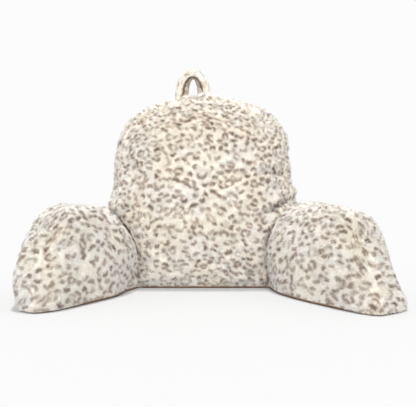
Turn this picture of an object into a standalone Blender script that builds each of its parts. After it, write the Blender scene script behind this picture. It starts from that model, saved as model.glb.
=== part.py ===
"""Reading pillow with arms.

A stuffed back cushion that stands by itself, two stuffed arms that reach forward from it,
a soft carry handle on top and plain base panels below. Metres, +Z up. The front faces -Y,
and the origin lies on the floor under the middle of the whole pillow.
"""
import math
from typing import NamedTuple

import bmesh
import bpy
import numpy as np

# Driving dimensions, to the tips of the pile
BASE_THICKNESS = 0.0016      # cloth of the base panels
GAP = 0.0003                 # air between touching pieces
CUT_GAP = 0.00036            # swell of the back where the arms are cut to it, as its skin curves
BASE_INSET = 0.004           # how far the base panels stay inside the cushions' edges

BACK_HALF_WIDTH = 0.2175     # middle of the back to its edge seam, at the shoulders
BACK_SHOULDER = 0.307        # height at which the round top begins
BACK_TOP = 0.474             # height of the edge seam at the top
BACK_FOOT = -0.020           # depth of the outline below the floor before it is cut flat
BACK_POWERS = (2.5, 2.5, 7.0)
BACK_MIDDLE_HEIGHT = 0.250   # height of the middle of the front and the rear panel
BACK_FRONT = 0.079           # front edge seam on the floor
BACK_REAR = 0.272            # rear edge seam on the floor
FRONT_LEAN = 0.075           # rearward lean of the front seam, per metre of height
REAR_LEAN = 0.120            # forward lean of the rear seam, per metre of height
FRONT_CROWN = 0.036
REAR_CROWN = 0.022
BOXING_BULGE = 0.013
SEAM_DEPTH = 0.004           # how far the thread draws a seam in
SEAM_WIDTH = 0.007
SEAM_STARTS = 0.85           # the seams lie this far out, as a share of the panel

ARM_FOOT = -0.026            # depth of an arm's outline below the floor before it is cut flat
ARM_FOOT_POWER = 4.2
CORNER_HEIGHT = 0.045        # how high the outer corner at the foot of an arm's end fades out
END_SEAM_TUCK = 0.982        # how far the end panel's seam draws the arm in
END_MIDDLE = 0.45            # height of the end panel's middle, as a share of the arm's
END_RINGS = (0.97, 0.90, 0.78, 0.60, 0.40, 0.20)
WAVE_HEIGHT = 0.0012         # each of the slow waves of a hand-filled cushion

HANDLE_MIDDLE = -0.023       # the loop sits a little left of the middle
HANDLE_Y = 0.170             # middle of the loop, front to rear
HANDLE_TOP = 0.5495          # height of the loop's centre line
HANDLE_DROP = 0.0700         # from there to its feet, inside the boxing
HANDLE_FRONT_SPAN = 0.047    # middle of the loop to a foot, along its front edge
HANDLE_REAR_SPAN = 0.020     # the same along its rear edge: the legs toe in
HANDLE_ARCH_POWER = 2.4      # higher is flatter on top
HANDLE_LEG_POWER = 0.6       # lower keeps the rear legs further apart
HANDLE_THICKNESS = 0.018
HANDLE_WIDTH = 0.042

PLUSH = (0.72, 0.65, 0.57)
BASE_CLOTH = (0.10, 0.065, 0.045)

AROUND_BACK = 104
AROUND_ARM = 52
AROUND_HANDLE = 14
ALONG_HANDLE = 23
BEHIND_ROOT = 4
ALONG_ARM = 10
ROUND_END = 9
PANEL_RINGS = (0.14, 0.30, 0.45, 0.58, 0.69, 0.78, 0.85, 0.905, 0.95, 0.98)
BOXING_RINGS = (0.0, 0.06, 0.16, 0.30, 0.50, 0.70, 0.84, 0.94, 1.0)


class Section(NamedTuple):
    """One section across an arm. Lengths are measured from the arm's root."""
    along: float     # along the arm, negative beside the back
    inner: float     # across to the inner side, at the belly
    outer: float     # across to the outer side, at the belly
    height: float
    slope: float     # how far the section leans back, per metre of height
    skew: float      # how far it turns back on the outer side, per metre across


class Fold(NamedTuple):
    """A soft trough (negative rise) or ridge, drawn on the front view of the back."""
    x: float
    z: float
    turn: float      # degrees from level
    reach: float     # half of its length
    spread: float    # half of its width
    rise: float


class Flare(NamedTuple):
    """A height at which the arms press the sides of the back outwards."""
    height: float
    spread: float
    rise: float


class Wave(NamedTuple):
    """One slow wave over the skins: radians per metre along each axis, then its start."""
    x: float
    y: float
    z: float
    start: float


class Arm(NamedTuple):
    side: int        # -1 left, +1 right
    root_x: float    # inner end of the arm on the floor, from the middle plane
    root_y: float
    splay: float     # degrees outwards from straight ahead
    inner_fullness: float   # power of the dome on the sitter's side, higher is boxier
    outer_fullness: float
    belly: float     # height of the widest place, as a share of the height
    crown: float     # bulge of the end panel
    corner: float    # how far the outer corner at the foot of the end stands out
    sections: tuple


LEFT_ARM = Arm(-1, 0.1665, 0.062, 21.8, 2.3, 3.0, 0.26, 0.028, -0.013, (
    Section(-0.150, 0.050, 0.092, 0.100, 0.00, 0.00),
    Section(-0.135, 0.030, 0.125, 0.150, 0.00, 0.00),
    Section(-0.100, 0.010, 0.160, 0.188, 0.00, 0.00),
    Section(-0.050, -0.008, 0.179, 0.203, 0.00, 0.00),
    Section(0.020, -0.026, 0.182, 0.207, 0.00, 0.00),
    Section(0.110, -0.030, 0.166, 0.206, 0.02, 0.00),
    Section(0.190, -0.023, 0.147, 0.206, 0.06, 0.02),
    Section(0.250, -0.015, 0.133, 0.202, 0.14, 0.06),
    Section(0.292, -0.009, 0.121, 0.188, 0.24, 0.09),
    Section(0.312, -0.005, 0.115, 0.175, 0.30, 0.11),
    Section(0.326, 0.002, 0.107, 0.156, 0.35, 0.12),
))

RIGHT_ARM = Arm(1, 0.1695, 0.091, 20.7, 2.2, 2.7, 0.20, 0.026, 0.006, (
    Section(-0.128, 0.050, 0.092, 0.100, 0.00, 0.00),
    Section(-0.112, 0.030, 0.125, 0.150, 0.00, 0.00),
    Section(-0.078, 0.008, 0.160, 0.192, 0.00, 0.00),
    Section(-0.028, -0.014, 0.182, 0.207, 0.00, 0.00),
    Section(0.042, -0.038, 0.186, 0.212, 0.00, 0.00),
    Section(0.140, -0.039, 0.168, 0.208, 0.02, 0.00),
    Section(0.230, -0.029, 0.149, 0.201, 0.08, 0.06),
    Section(0.300, -0.016, 0.136, 0.192, 0.18, 0.14),
    Section(0.345, -0.006, 0.126, 0.178, 0.26, 0.22),
    Section(0.368, -0.002, 0.119, 0.165, 0.31, 0.27),
    Section(0.382, 0.006, 0.111, 0.147, 0.34, 0.29),
))

BACK_FOLDS = (
    Fold(0.153, 0.293, 12.0, 0.045, 0.011, -0.005),
    Fold(0.201, 0.286, -25.0, 0.034, 0.010, -0.009),
    Fold(0.203, 0.240, -35.0, 0.060, 0.022, 0.010),
    Fold(0.191, 0.199, 25.0, 0.045, 0.013, -0.013),
    Fold(-0.205, 0.225, 30.0, 0.050, 0.022, 0.007),
    Fold(0.052, 0.480, 75.0, 0.030, 0.008, -0.007),
    Fold(0.075, 0.462, -40.0, 0.032, 0.014, 0.005),
    Fold(0.160, 0.432, 40.0, 0.030, 0.010, -0.005),
    Fold(0.000, 0.195, 0.0, 0.150, 0.030, -0.005),
)


FLARES = (
    Flare(0.190, 0.055, 0.016),
    Flare(0.050, 0.100, 0.010),
)

WAVES = (
    Wave(47.0, 0.0, 21.0, 0.6),
    Wave(-38.0, 25.0, 33.0, 2.1),
    Wave(0.0, 52.0, 29.0, -1.3),
)


def smooth_through(knots, values, at):
    """Cubic curve through the values, each slope taken from the values beside it."""
    knots = np.asarray(knots, dtype=float)
    values = np.asarray(values, dtype=float)
    slopes = np.gradient(values, knots)
    left = np.clip(np.searchsorted(knots, at, side="right") - 1, 0, len(knots) - 2)
    span = knots[left + 1] - knots[left]
    t = np.clip((at - knots[left]) / span, 0.0, 1.0)
    return ((1 + 2 * t) * (1 - t) ** 2 * values[left]
            + t * (1 - t) ** 2 * span * slopes[left]
            + t * t * (3 - 2 * t) * values[left + 1]
            + t * t * (t - 1) * span * slopes[left + 1])


def evenly_spaced(points, count):
    """The same closed outline with its points at equal distances."""
    closed = np.vstack((points, points[:1]))
    steps = np.linalg.norm(np.diff(closed, axis=0), axis=1)
    travelled = np.concatenate(((0.0,), np.cumsum(steps)))
    wanted = np.arange(count) * travelled[-1] / count
    return np.column_stack([np.interp(wanted, travelled, closed[:, k]) for k in range(2)])


def rounded_outline(half_width, heights, powers, count):
    """Four quarter superellipses round a middle: heights and powers go down from the top.

    heights are the top, the middle and the bottom; powers are those of the upper left,
    the upper right and the lower quarters.
    """
    top, middle, bottom = heights
    upper_left, upper_right, lower = powers
    turn = np.linspace(0.0, 2.0 * math.pi, 1440, endpoint=False)
    cosine, sine = np.cos(turn), np.sin(turn)
    power = np.where(sine < 0.0, lower, np.where(cosine < 0.0, upper_left, upper_right))
    rise = np.where(sine < 0.0, middle - bottom, top - middle)
    across = half_width * np.sign(cosine) * np.abs(cosine) ** (2.0 / power)
    height = middle + rise * np.sign(sine) * np.abs(sine) ** (2.0 / power)
    return evenly_spaced(np.column_stack((across, height)), count)


def outward(outline):
    """Unit normals of a closed counter-clockwise outline."""
    tangent = np.roll(outline, -1, axis=0) - np.roll(outline, 1, axis=0)
    tangent /= np.linalg.norm(tangent, axis=1, keepdims=True)
    return np.column_stack((tangent[:, 1], -tangent[:, 0]))


def bell(distance, width):
    return np.exp(-(distance / width) ** 2)


def face_outwards(mesh):
    bmesh.ops.recalc_face_normals(mesh, faces=mesh.faces)
    if mesh.calc_volume(signed=True) < 0.0:
        bmesh.ops.reverse_faces(mesh, faces=mesh.faces)


def skin_of_rings(name, rings, first_pole, last_pole):
    """Closed mesh over rings of equal length, with a fan to a pole at each end."""
    count = len(rings[0])
    mesh = bmesh.new()
    loops = [[mesh.verts.new(point) for point in ring] for ring in rings]
    poles = (mesh.verts.new(first_pole), mesh.verts.new(last_pole))
    for ring, following in zip(loops, loops[1:]):
        for k in range(count):
            after = (k + 1) % count
            mesh.faces.new((ring[k], ring[after], following[after], following[k]))
    for k in range(count):
        after = (k + 1) % count
        mesh.faces.new((poles[0], loops[0][after], loops[0][k]))
        mesh.faces.new((poles[1], loops[-1][k], loops[-1][after]))
    bmesh.ops.triangulate(mesh, faces=mesh.faces, quad_method="FIXED")
    face_outwards(mesh)
    data = bpy.data.meshes.new(name)
    mesh.to_mesh(data)
    mesh.free()
    return data


def push_along_normals(data, amount):
    """Move each vertex along its normal by its own amount."""
    places = np.empty(len(data.vertices) * 3)
    normals = np.empty(len(data.vertices) * 3)
    data.vertices.foreach_get("co", places)
    data.vertex_normals.foreach_get("vector", normals)
    moved = places.reshape(-1, 3) + normals.reshape(-1, 3) * amount[:, None]
    data.vertices.foreach_set("co", moved.ravel())
    data.update()


def vertex_places(data):
    places = np.empty(len(data.vertices) * 3)
    data.vertices.foreach_get("co", places)
    return places.reshape(-1, 3)


def cut_flat(data, height):
    """Cut everything below a level away and close the cut with one flat face."""
    mesh = bmesh.new()
    mesh.from_mesh(data)
    everything = mesh.verts[:] + mesh.edges[:] + mesh.faces[:]
    bmesh.ops.bisect_plane(mesh, geom=everything, dist=1e-6, plane_co=(0, 0, height),
                           plane_no=(0, 0, 1), clear_inner=True)
    rim = [edge for edge in mesh.edges if edge.is_boundary]
    bmesh.ops.contextual_create(mesh, geom=rim)
    face_outwards(mesh)
    mesh.to_mesh(data)
    mesh.free()


def back_seam_y(height):
    """Y of the front and of the rear edge seam at a height."""
    return BACK_FRONT + FRONT_LEAN * height, BACK_REAR - REAR_LEAN * height


def panel_crown(ring):
    """Share of a panel's crown at a ring, 1 in the middle and 0 at the seam."""
    return (1.0 - ring ** 2.6) ** 0.72


def flare(height):
    """How far the sides of the back spread at a height."""
    return sum(row.rise * bell(height - row.height, row.spread) for row in FLARES)


def back_cushion(swell=0.0):
    """Front panel, boxing and rear panel, from the middle of the front to that of the rear."""
    outline = rounded_outline(BACK_HALF_WIDTH, (BACK_TOP, BACK_SHOULDER, BACK_FOOT),
                              BACK_POWERS, AROUND_BACK)
    outline[:, 0] += np.sign(outline[:, 0]) * flare(outline[:, 1])
    normal = outward(outline)
    middle = np.array((0.0, BACK_MIDDLE_HEIGHT))
    rings = []
    for ring in PANEL_RINGS:
        flat = middle + (outline - middle) * ring
        front, _ = back_seam_y(flat[:, 1])
        rings.append((flat, front - FRONT_CROWN * panel_crown(ring)))
    for share in BOXING_RINGS:
        flat = outline + normal * BOXING_BULGE * math.sin(math.pi * share) ** 0.8
        front, rear = back_seam_y(flat[:, 1])
        rings.append((flat, front + (rear - front) * share))
    for ring in reversed(PANEL_RINGS):
        flat = middle + (outline - middle) * ring
        _, rear = back_seam_y(flat[:, 1])
        rings.append((flat, rear + REAR_CROWN * panel_crown(ring)))
    front, rear = back_seam_y(middle[1])
    skin = skin_of_rings(
        "back",
        [np.column_stack((flat[:, 0], y, flat[:, 1])) for flat, y in rings],
        (middle[0], front - FRONT_CROWN, middle[1]),
        (middle[0], rear + REAR_CROWN, middle[1]))
    places = vertex_places(skin)
    push_along_normals(skin, swell + fold_relief(places) + seam_relief(places) + unevenness(places))
    return skin


def seam_relief(places):
    """The two edge seams are drawn in, as is the cloth close beside them."""
    front, rear = back_seam_y(places[:, 2])
    from_middle = np.hypot(places[:, 0] / BACK_HALF_WIDTH,
                           (places[:, 2] - BACK_MIDDLE_HEIGHT) / (BACK_TOP - BACK_MIDDLE_HEIGHT))
    nearest = np.minimum(np.abs(places[:, 1] - front), np.abs(places[:, 1] - rear))
    return -SEAM_DEPTH * bell(nearest, SEAM_WIDTH) * (from_middle > SEAM_STARTS)


def unevenness(places):
    """Slow crossed waves, as a hand-filled cushion has."""
    return sum(WAVE_HEIGHT * np.sin(places @ (wave.x, wave.y, wave.z) + wave.start)
               for wave in WAVES)


def fold_relief(places):
    """Sum of the folds over the front and the boxing, fading towards the rear seam."""
    relief = np.zeros(len(places))
    front, rear = back_seam_y(places[:, 2])
    fade = 1.0 - np.clip((places[:, 1] - front) / (rear - front), 0.0, 1.0) ** 2
    for fold in BACK_FOLDS:
        turn = math.radians(fold.turn)
        dx = places[:, 0] - fold.x
        dz = places[:, 2] - fold.z
        lengthwise = dx * math.cos(turn) + dz * math.sin(turn)
        crosswise = dz * math.cos(turn) - dx * math.sin(turn)
        relief += fold.rise * bell(lengthwise, fold.reach) * bell(crosswise, fold.spread)
    return relief * fade


def arm_cushion(arm):
    """The wrap panel from behind the root to the end seam, then the crowned end panel."""
    table = np.array(arm.sections)
    start, root, front, end = table[[0, 2, 6, -1], 0]
    stations = np.concatenate((
        np.linspace(start, root, BEHIND_ROOT, endpoint=False),
        np.linspace(root, front, ALONG_ARM, endpoint=False),
        np.linspace(front, end, ROUND_END)))
    rings = [arm_section(arm, along, 1.0) for along in stations]
    rings[-1] = arm_section(arm, end, END_SEAM_TUCK)
    for ring in END_RINGS:
        rings.append(arm_section(arm, end, ring, arm.crown * panel_crown(ring)))
    first = rings[0].mean(axis=0)
    last = arm_section(arm, end, 0.0, arm.crown)[0]
    skin = skin_of_rings("arm", rings, first, last)
    push_along_normals(skin, unevenness(vertex_places(skin)))
    return skin


def arm_section(arm, along, ring, bulge=0.0):
    """A dome with a rounded belly, leaning back by its slope and cut flat later.

    ring shrinks it towards its middle, and bulge carries it forward, for the end panel.
    """
    table = np.array(arm.sections)
    inner, outer, height, slope, skew = (smooth_through(table[:, 0], table[:, k], along)
                                         for k in range(1, 6))
    half = (outer - inner) * 0.5
    dome = rounded_outline(half, (height, arm.belly * height, ARM_FOOT),
                           (arm.inner_fullness, arm.outer_fullness, ARM_FOOT_POWER), AROUND_ARM)
    towards_end = np.clip((along - table[-4, 0]) / (table[-1, 0] - table[-4, 0]), 0.0, 1.0)
    outside = np.clip(dome[:, 0] / half, 0.0, 1.0) ** 3
    dome[:, 0] += arm.corner * towards_end * outside * bell(dome[:, 1], CORNER_HEIGHT)
    middle = np.array((0.0, height * END_MIDDLE))
    dome = middle + (dome - middle) * ring
    across = (inner + outer) * 0.5 + dome[:, 0]
    forward = along + bulge - slope * dome[:, 1] - skew * across
    return arm_place(arm, forward, across, dome[:, 1])


def arm_place(arm, along, across, height):
    """World place of points given along, across and above an arm's root."""
    splay = math.radians(arm.splay)
    x = arm.root_x + along * math.sin(splay) + across * math.cos(splay)
    y = arm.root_y - along * math.cos(splay) + across * math.sin(splay)
    return np.column_stack((arm.side * x, y, height))


def handle_loop():
    """A band between two arches, a wide one in front and a narrow one behind.

    The front arch is x = span * cos(a), z = top - drop * |cos(a)|^power. The rear one has
    the same heights and a fuller x, so the legs toe in to the rear.
    """
    turn = np.linspace(0.0, math.pi, ALONG_HANDLE)
    wide_arch = np.cos(turn)
    narrow_arch = np.sign(wide_arch) * np.abs(wide_arch) ** HANDLE_LEG_POWER
    height = HANDLE_TOP - HANDLE_DROP * np.abs(wide_arch) ** HANDLE_ARCH_POWER
    half_depth = np.full(ALONG_HANDLE, (HANDLE_WIDTH - HANDLE_THICKNESS) * 0.5)
    front = np.column_stack((HANDLE_FRONT_SPAN * wide_arch, -half_depth, height))
    rear = np.column_stack((HANDLE_REAR_SPAN * narrow_arch, half_depth, height))
    middle = (front + rear) * 0.5
    wide = unit(rear - front)
    thick = unit(np.cross(unit(np.gradient(middle, axis=0)), wide))
    middle += (HANDLE_MIDDLE, HANDLE_Y, 0.0)
    half_width = np.linalg.norm(rear - front, axis=1, keepdims=True) * 0.5 + HANDLE_THICKNESS * 0.5
    around = np.arange(AROUND_HANDLE) * 2.0 * math.pi / AROUND_HANDLE
    rings = [middle[k] + np.outer(np.cos(around), thick[k]) * HANDLE_THICKNESS * 0.5
             + np.outer(np.sin(around), wide[k]) * half_width[k] for k in range(ALONG_HANDLE)]
    return skin_of_rings("handle", rings, middle[0], middle[-1])


def unit(vectors):
    return vectors / np.linalg.norm(vectors, axis=1, keepdims=True)


def material(name, colour, roughness):
    cloth = bpy.data.materials.new(name)
    cloth.use_nodes = True
    shader = cloth.node_tree.nodes["Principled BSDF"]
    shader.inputs["Base Color"].default_value = (*colour, 1.0)
    shader.inputs["Roughness"].default_value = roughness
    shader.inputs["Metallic"].default_value = 0.0
    return cloth


def add_object(name, data, colour, roughness):
    piece = bpy.data.objects.new(name, data)
    bpy.context.collection.objects.link(piece)
    data.materials.append(material(name, colour, roughness))
    data.shade_smooth()
    data.set_sharp_from_angle(angle=math.radians(50.0))
    return piece


def cut_by(piece, cutter):
    """Take the cutter's space out of a piece, so that the two lie a gap apart."""
    boolean = piece.modifiers.new("meet " + cutter.name, "BOOLEAN")
    boolean.operation = "DIFFERENCE"
    boolean.solver = "EXACT"
    boolean.object = cutter


def cutter_object(name, data):
    cutter = bpy.data.objects.new(name, data)
    bpy.context.collection.objects.link(cutter)
    cutter.hide_render = True
    cutter.display_type = "WIRE"
    return cutter


def base_panel(name, cushion):
    """A flat sheet with the outline of a cushion's flat underside, drawn in at its edge."""
    depsgraph = bpy.context.evaluated_depsgraph_get()
    mesh = bmesh.new()
    mesh.from_mesh(cushion.evaluated_get(depsgraph).to_mesh())
    level = BASE_THICKNESS + GAP
    upper = [face for face in mesh.faces
             if not all(abs(vert.co.z - level) < 1e-5 for vert in face.verts)]
    bmesh.ops.delete(mesh, geom=upper, context="FACES")
    bmesh.ops.dissolve_faces(mesh, faces=mesh.faces)
    bmesh.ops.inset_region(mesh, faces=mesh.faces, thickness=BASE_INSET, use_boundary=True)
    mesh.faces.ensure_lookup_table()
    inside = max(mesh.faces, key=lambda face: face.calc_area())
    bmesh.ops.delete(mesh, geom=[face for face in mesh.faces if face != inside], context="FACES")
    for vert in mesh.verts:
        vert.co.z = 0.0
    raised = bmesh.ops.extrude_face_region(mesh, geom=mesh.faces[:])["geom"]
    for item in raised:
        if isinstance(item, bmesh.types.BMVert):
            item.co.z = BASE_THICKNESS
    face_outwards(mesh)
    data = bpy.data.meshes.new(name)
    mesh.to_mesh(data)
    mesh.free()
    return add_object(name, data, BASE_CLOTH, 0.9)


def stand_on_origin(pieces):
    """Hold every piece by one empty that puts the middle of the whole on the origin."""
    depsgraph = bpy.context.evaluated_depsgraph_get()
    places = np.vstack([vertex_places(piece.evaluated_get(depsgraph).data) for piece in pieces])
    low, high = places.min(axis=0), places.max(axis=0)
    holder = bpy.data.objects.new("pillow", None)
    bpy.context.collection.objects.link(holder)
    holder.location = (-0.5 * (low[0] + high[0]), -0.5 * (low[1] + high[1]), 0.0)
    for item in bpy.data.objects:
        if item is not holder:
            item.parent = holder


def main():
    for item in list(bpy.data.objects):
        bpy.data.objects.remove(item)

    skin = back_cushion()
    cut_flat(skin, BASE_THICKNESS + GAP)
    back = add_object("back", skin, PLUSH, 0.95)
    clearance = cutter_object("back_clearance", back_cushion(swell=CUT_GAP))

    cushions = [back]
    for name, arm in (("arm_left", LEFT_ARM), ("arm_right", RIGHT_ARM)):
        skin = arm_cushion(arm)
        cut_flat(skin, BASE_THICKNESS + GAP)
        piece = add_object(name, skin, PLUSH, 0.95)
        cut_by(piece, clearance)
        cushions.append(piece)

    handle = add_object("handle", handle_loop(), PLUSH, 0.95)
    cut_by(handle, clearance)

    panels = [base_panel("base_" + cushion.name, cushion) for cushion in cushions]
    stand_on_origin([*cushions, handle, *panels])


main()
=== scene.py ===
import math

import bpy
import numpy as np
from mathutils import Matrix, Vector


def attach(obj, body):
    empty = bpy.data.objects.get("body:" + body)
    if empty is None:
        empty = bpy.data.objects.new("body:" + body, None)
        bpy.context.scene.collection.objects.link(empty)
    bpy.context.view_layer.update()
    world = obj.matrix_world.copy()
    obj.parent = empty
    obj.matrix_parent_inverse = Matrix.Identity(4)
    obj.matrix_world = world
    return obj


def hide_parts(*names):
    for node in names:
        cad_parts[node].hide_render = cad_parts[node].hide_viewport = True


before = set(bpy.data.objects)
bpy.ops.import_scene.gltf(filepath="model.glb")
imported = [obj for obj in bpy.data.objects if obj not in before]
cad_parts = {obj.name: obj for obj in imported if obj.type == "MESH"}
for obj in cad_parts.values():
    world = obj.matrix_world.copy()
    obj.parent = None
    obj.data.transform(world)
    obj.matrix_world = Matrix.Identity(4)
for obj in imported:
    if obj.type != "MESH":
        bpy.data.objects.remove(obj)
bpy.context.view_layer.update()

# reading pillow with arms: printed plush cushions on brown base panels
floorShift = np.array((-0.012706, -0.007994, 0.0))   # from the drawing's origin to the frame's
tau = 2.0 * math.pi


# small maths shared by all the cushions

def unit(vectors):
    # each vector over its own length
    return vectors / np.maximum(np.linalg.norm(vectors, axis=-1, keepdims=True), 1e-12)


def bell(distance, width):
    # e to the minus (distance over width) squared
    return np.exp(-(distance / width) ** 2)


def eased(t):
    # 0 to 1 with a level start and end: 3 t squared less 2 t cubed
    return t * t * (3.0 - 2.0 * t)


def smoothThrough(knots, values, at):
    # cubic through the values, with each slope taken from its two neighbours
    slopes = np.gradient(values, knots)
    left = np.clip(np.searchsorted(knots, at, side="right") - 1, 0, len(knots) - 2)
    span = knots[left + 1] - knots[left]
    t = np.clip((at - knots[left]) / span, 0.0, 1.0)
    return ((1 + 2 * t) * (1 - t) ** 2 * values[left] + t * (1 - t) ** 2 * span * slopes[left]
            + t * t * (3 - 2 * t) * values[left + 1] + t * t * (t - 1) * span * slopes[left + 1])


def ripple(points, wavelength, seed, waves=12):
    # sum of sine waves with random headings, lengths near the given one and random starts, over the root of their
    # number, so about -1 to 1
    pick = np.random.default_rng(seed)
    heading = unit(pick.normal(size=(waves, 3)))
    rate = tau / (wavelength * pick.uniform(0.7, 1.4, waves))
    start = pick.uniform(0.0, tau, waves)
    flat = points.reshape(-1, 3)
    waved = np.sin(flat @ (heading * rate[:, None]).T + start).sum(axis=1) / math.sqrt(waves)
    return waved.reshape(points.shape[:-1])


def roundedOutline(halfWidth, heights, powers, count):
    # quarter superellipses |x/a|^p + |z/b|^p = 1 round a middle, at equal steps, from the middle of the foot
    top, middle, bottom = heights
    upperLeft, upperRight, lower = powers
    turn = np.linspace(-0.25, 0.75, 2401) * tau
    cosine, sine = np.cos(turn), np.sin(turn)
    power = np.where(sine < 0.0, lower, np.where(cosine < 0.0, upperLeft, upperRight))
    rise = np.where(sine < 0.0, middle - bottom, top - middle)
    x = halfWidth * np.sign(cosine) * np.abs(cosine) ** (2.0 / power)
    z = middle + rise * np.sign(sine) * np.abs(sine) ** (2.0 / power)
    travelled = np.concatenate(((0.0,), np.cumsum(np.hypot(np.diff(x), np.diff(z)))))
    wanted = np.linspace(0.0, travelled[-1], count + 1)
    return np.column_stack((np.interp(wanted, travelled, x), np.interp(wanted, travelled, z))), wanted


def panelCrown(ring):
    # bulge of a stuffed panel, 1 in its middle and 0 at its seam: (1 - ring^2.6)^0.72
    return np.maximum(1.0 - ring ** 2.6, 0.0) ** 0.72


def facing(places):
    # outward unit normals of a grid that closes on itself along its second axis
    along = np.gradient(places, axis=0)
    ahead = np.concatenate((places[:, 1:], places[:, 1:2]), axis=1)
    behind = np.concatenate((places[:, -2:-1], places[:, :-1]), axis=1)
    normal = unit(np.cross(ahead - behind, along))
    out = places - places.reshape(-1, 3).mean(axis=0)
    return normal if (normal * out).sum() > 0.0 else -normal


def softened(rows):
    # each inner row as half of itself and a quarter of either neighbour
    even = rows.copy()
    even[1:-1] = (rows[:-2] + 2.0 * rows[1:-1] + rows[2:]) * 0.25
    return even


def softenedRound(rows, axis=0):
    # the same where the rows close on themselves
    return (np.roll(rows, 1, axis=axis) + 2.0 * rows + np.roll(rows, -1, axis=axis)) * 0.25


def liftOf(places, rounds=24):
    # outward normals averaged with their neighbours, so that nothing moved along them folds over itself at a seam
    lift = facing(places)
    for _ in range(rounds):
        lift = softened(lift)
        lift[:, :-1] = softenedRound(lift[:, :-1], axis=1)
        lift[:, -1] = lift[:, 0]
    return unit(lift)


def pushed(places, pushes, share=1.0):
    # each push carries what lies near its middle along a vector, fading as a bell of the distance over its reach
    moved = places
    for middle, reach, way in pushes:
        distance = np.linalg.norm(places - middle, axis=-1, keepdims=True)
        moved = moved + bell(distance, reach) * (np.array(way) * share)
    return moved


def flattened(places, start, along, every=7, rounds=1600, stiffness=0.12):
    # flat pattern of a sheet: on a coarse grid, springs between neighbours settle towards their lengths on the form,
    # with those along the rows' travel shortened by the given share; then spread back over the fine grid
    rows = np.unique(np.append(np.arange(0, len(places), every), len(places) - 1))
    columns = np.unique(np.append(np.arange(0, places.shape[1], every), places.shape[1] - 1))
    form, flat = places[np.ix_(rows, columns)], start[np.ix_(rows, columns)].copy()
    down, across = (form[1:] - form[:-1]) * along, form[:, 1:] - form[:, :-1]
    ends = ((np.s_[:-1], np.s_[1:], down), (np.s_[:, :-1], np.s_[:, 1:], across),
            (np.s_[:-1, :-1], np.s_[1:, 1:], down[:, :-1] + across[1:]),
            (np.s_[:-1, 1:], np.s_[1:, :-1], down[:, 1:] - across[1:]))
    links = [(a, b, np.linalg.norm(edge, axis=-1, keepdims=True)) for a, b, edge in ends]
    for _ in range(rounds):
        change = np.zeros_like(flat)
        for a, b, rest in links:
            gap = flat[b] - flat[a]
            length = np.maximum(np.linalg.norm(gap, axis=-1, keepdims=True), 1e-9)
            pull = gap * (stiffness * (1.0 - rest / length))
            change[a] += pull
            change[b] -= pull
        flat += change

    def spreadOut(values, knots, count):
        # values at every row between the coarse ones, by straight blends
        low = np.clip(np.searchsorted(knots, np.arange(count), side="right") - 1, 0, len(knots) - 2)
        share = ((np.arange(count) - knots[low]) / (knots[low + 1] - knots[low]))[:, None, None]
        return values[low] * (1.0 - share) + values[low + 1] * share

    byRow = spreadOut(flat, rows, len(places))
    return spreadOut(byRow.swapaxes(0, 1), columns, places.shape[1]).swapaxes(0, 1)


# the back cushion

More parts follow.
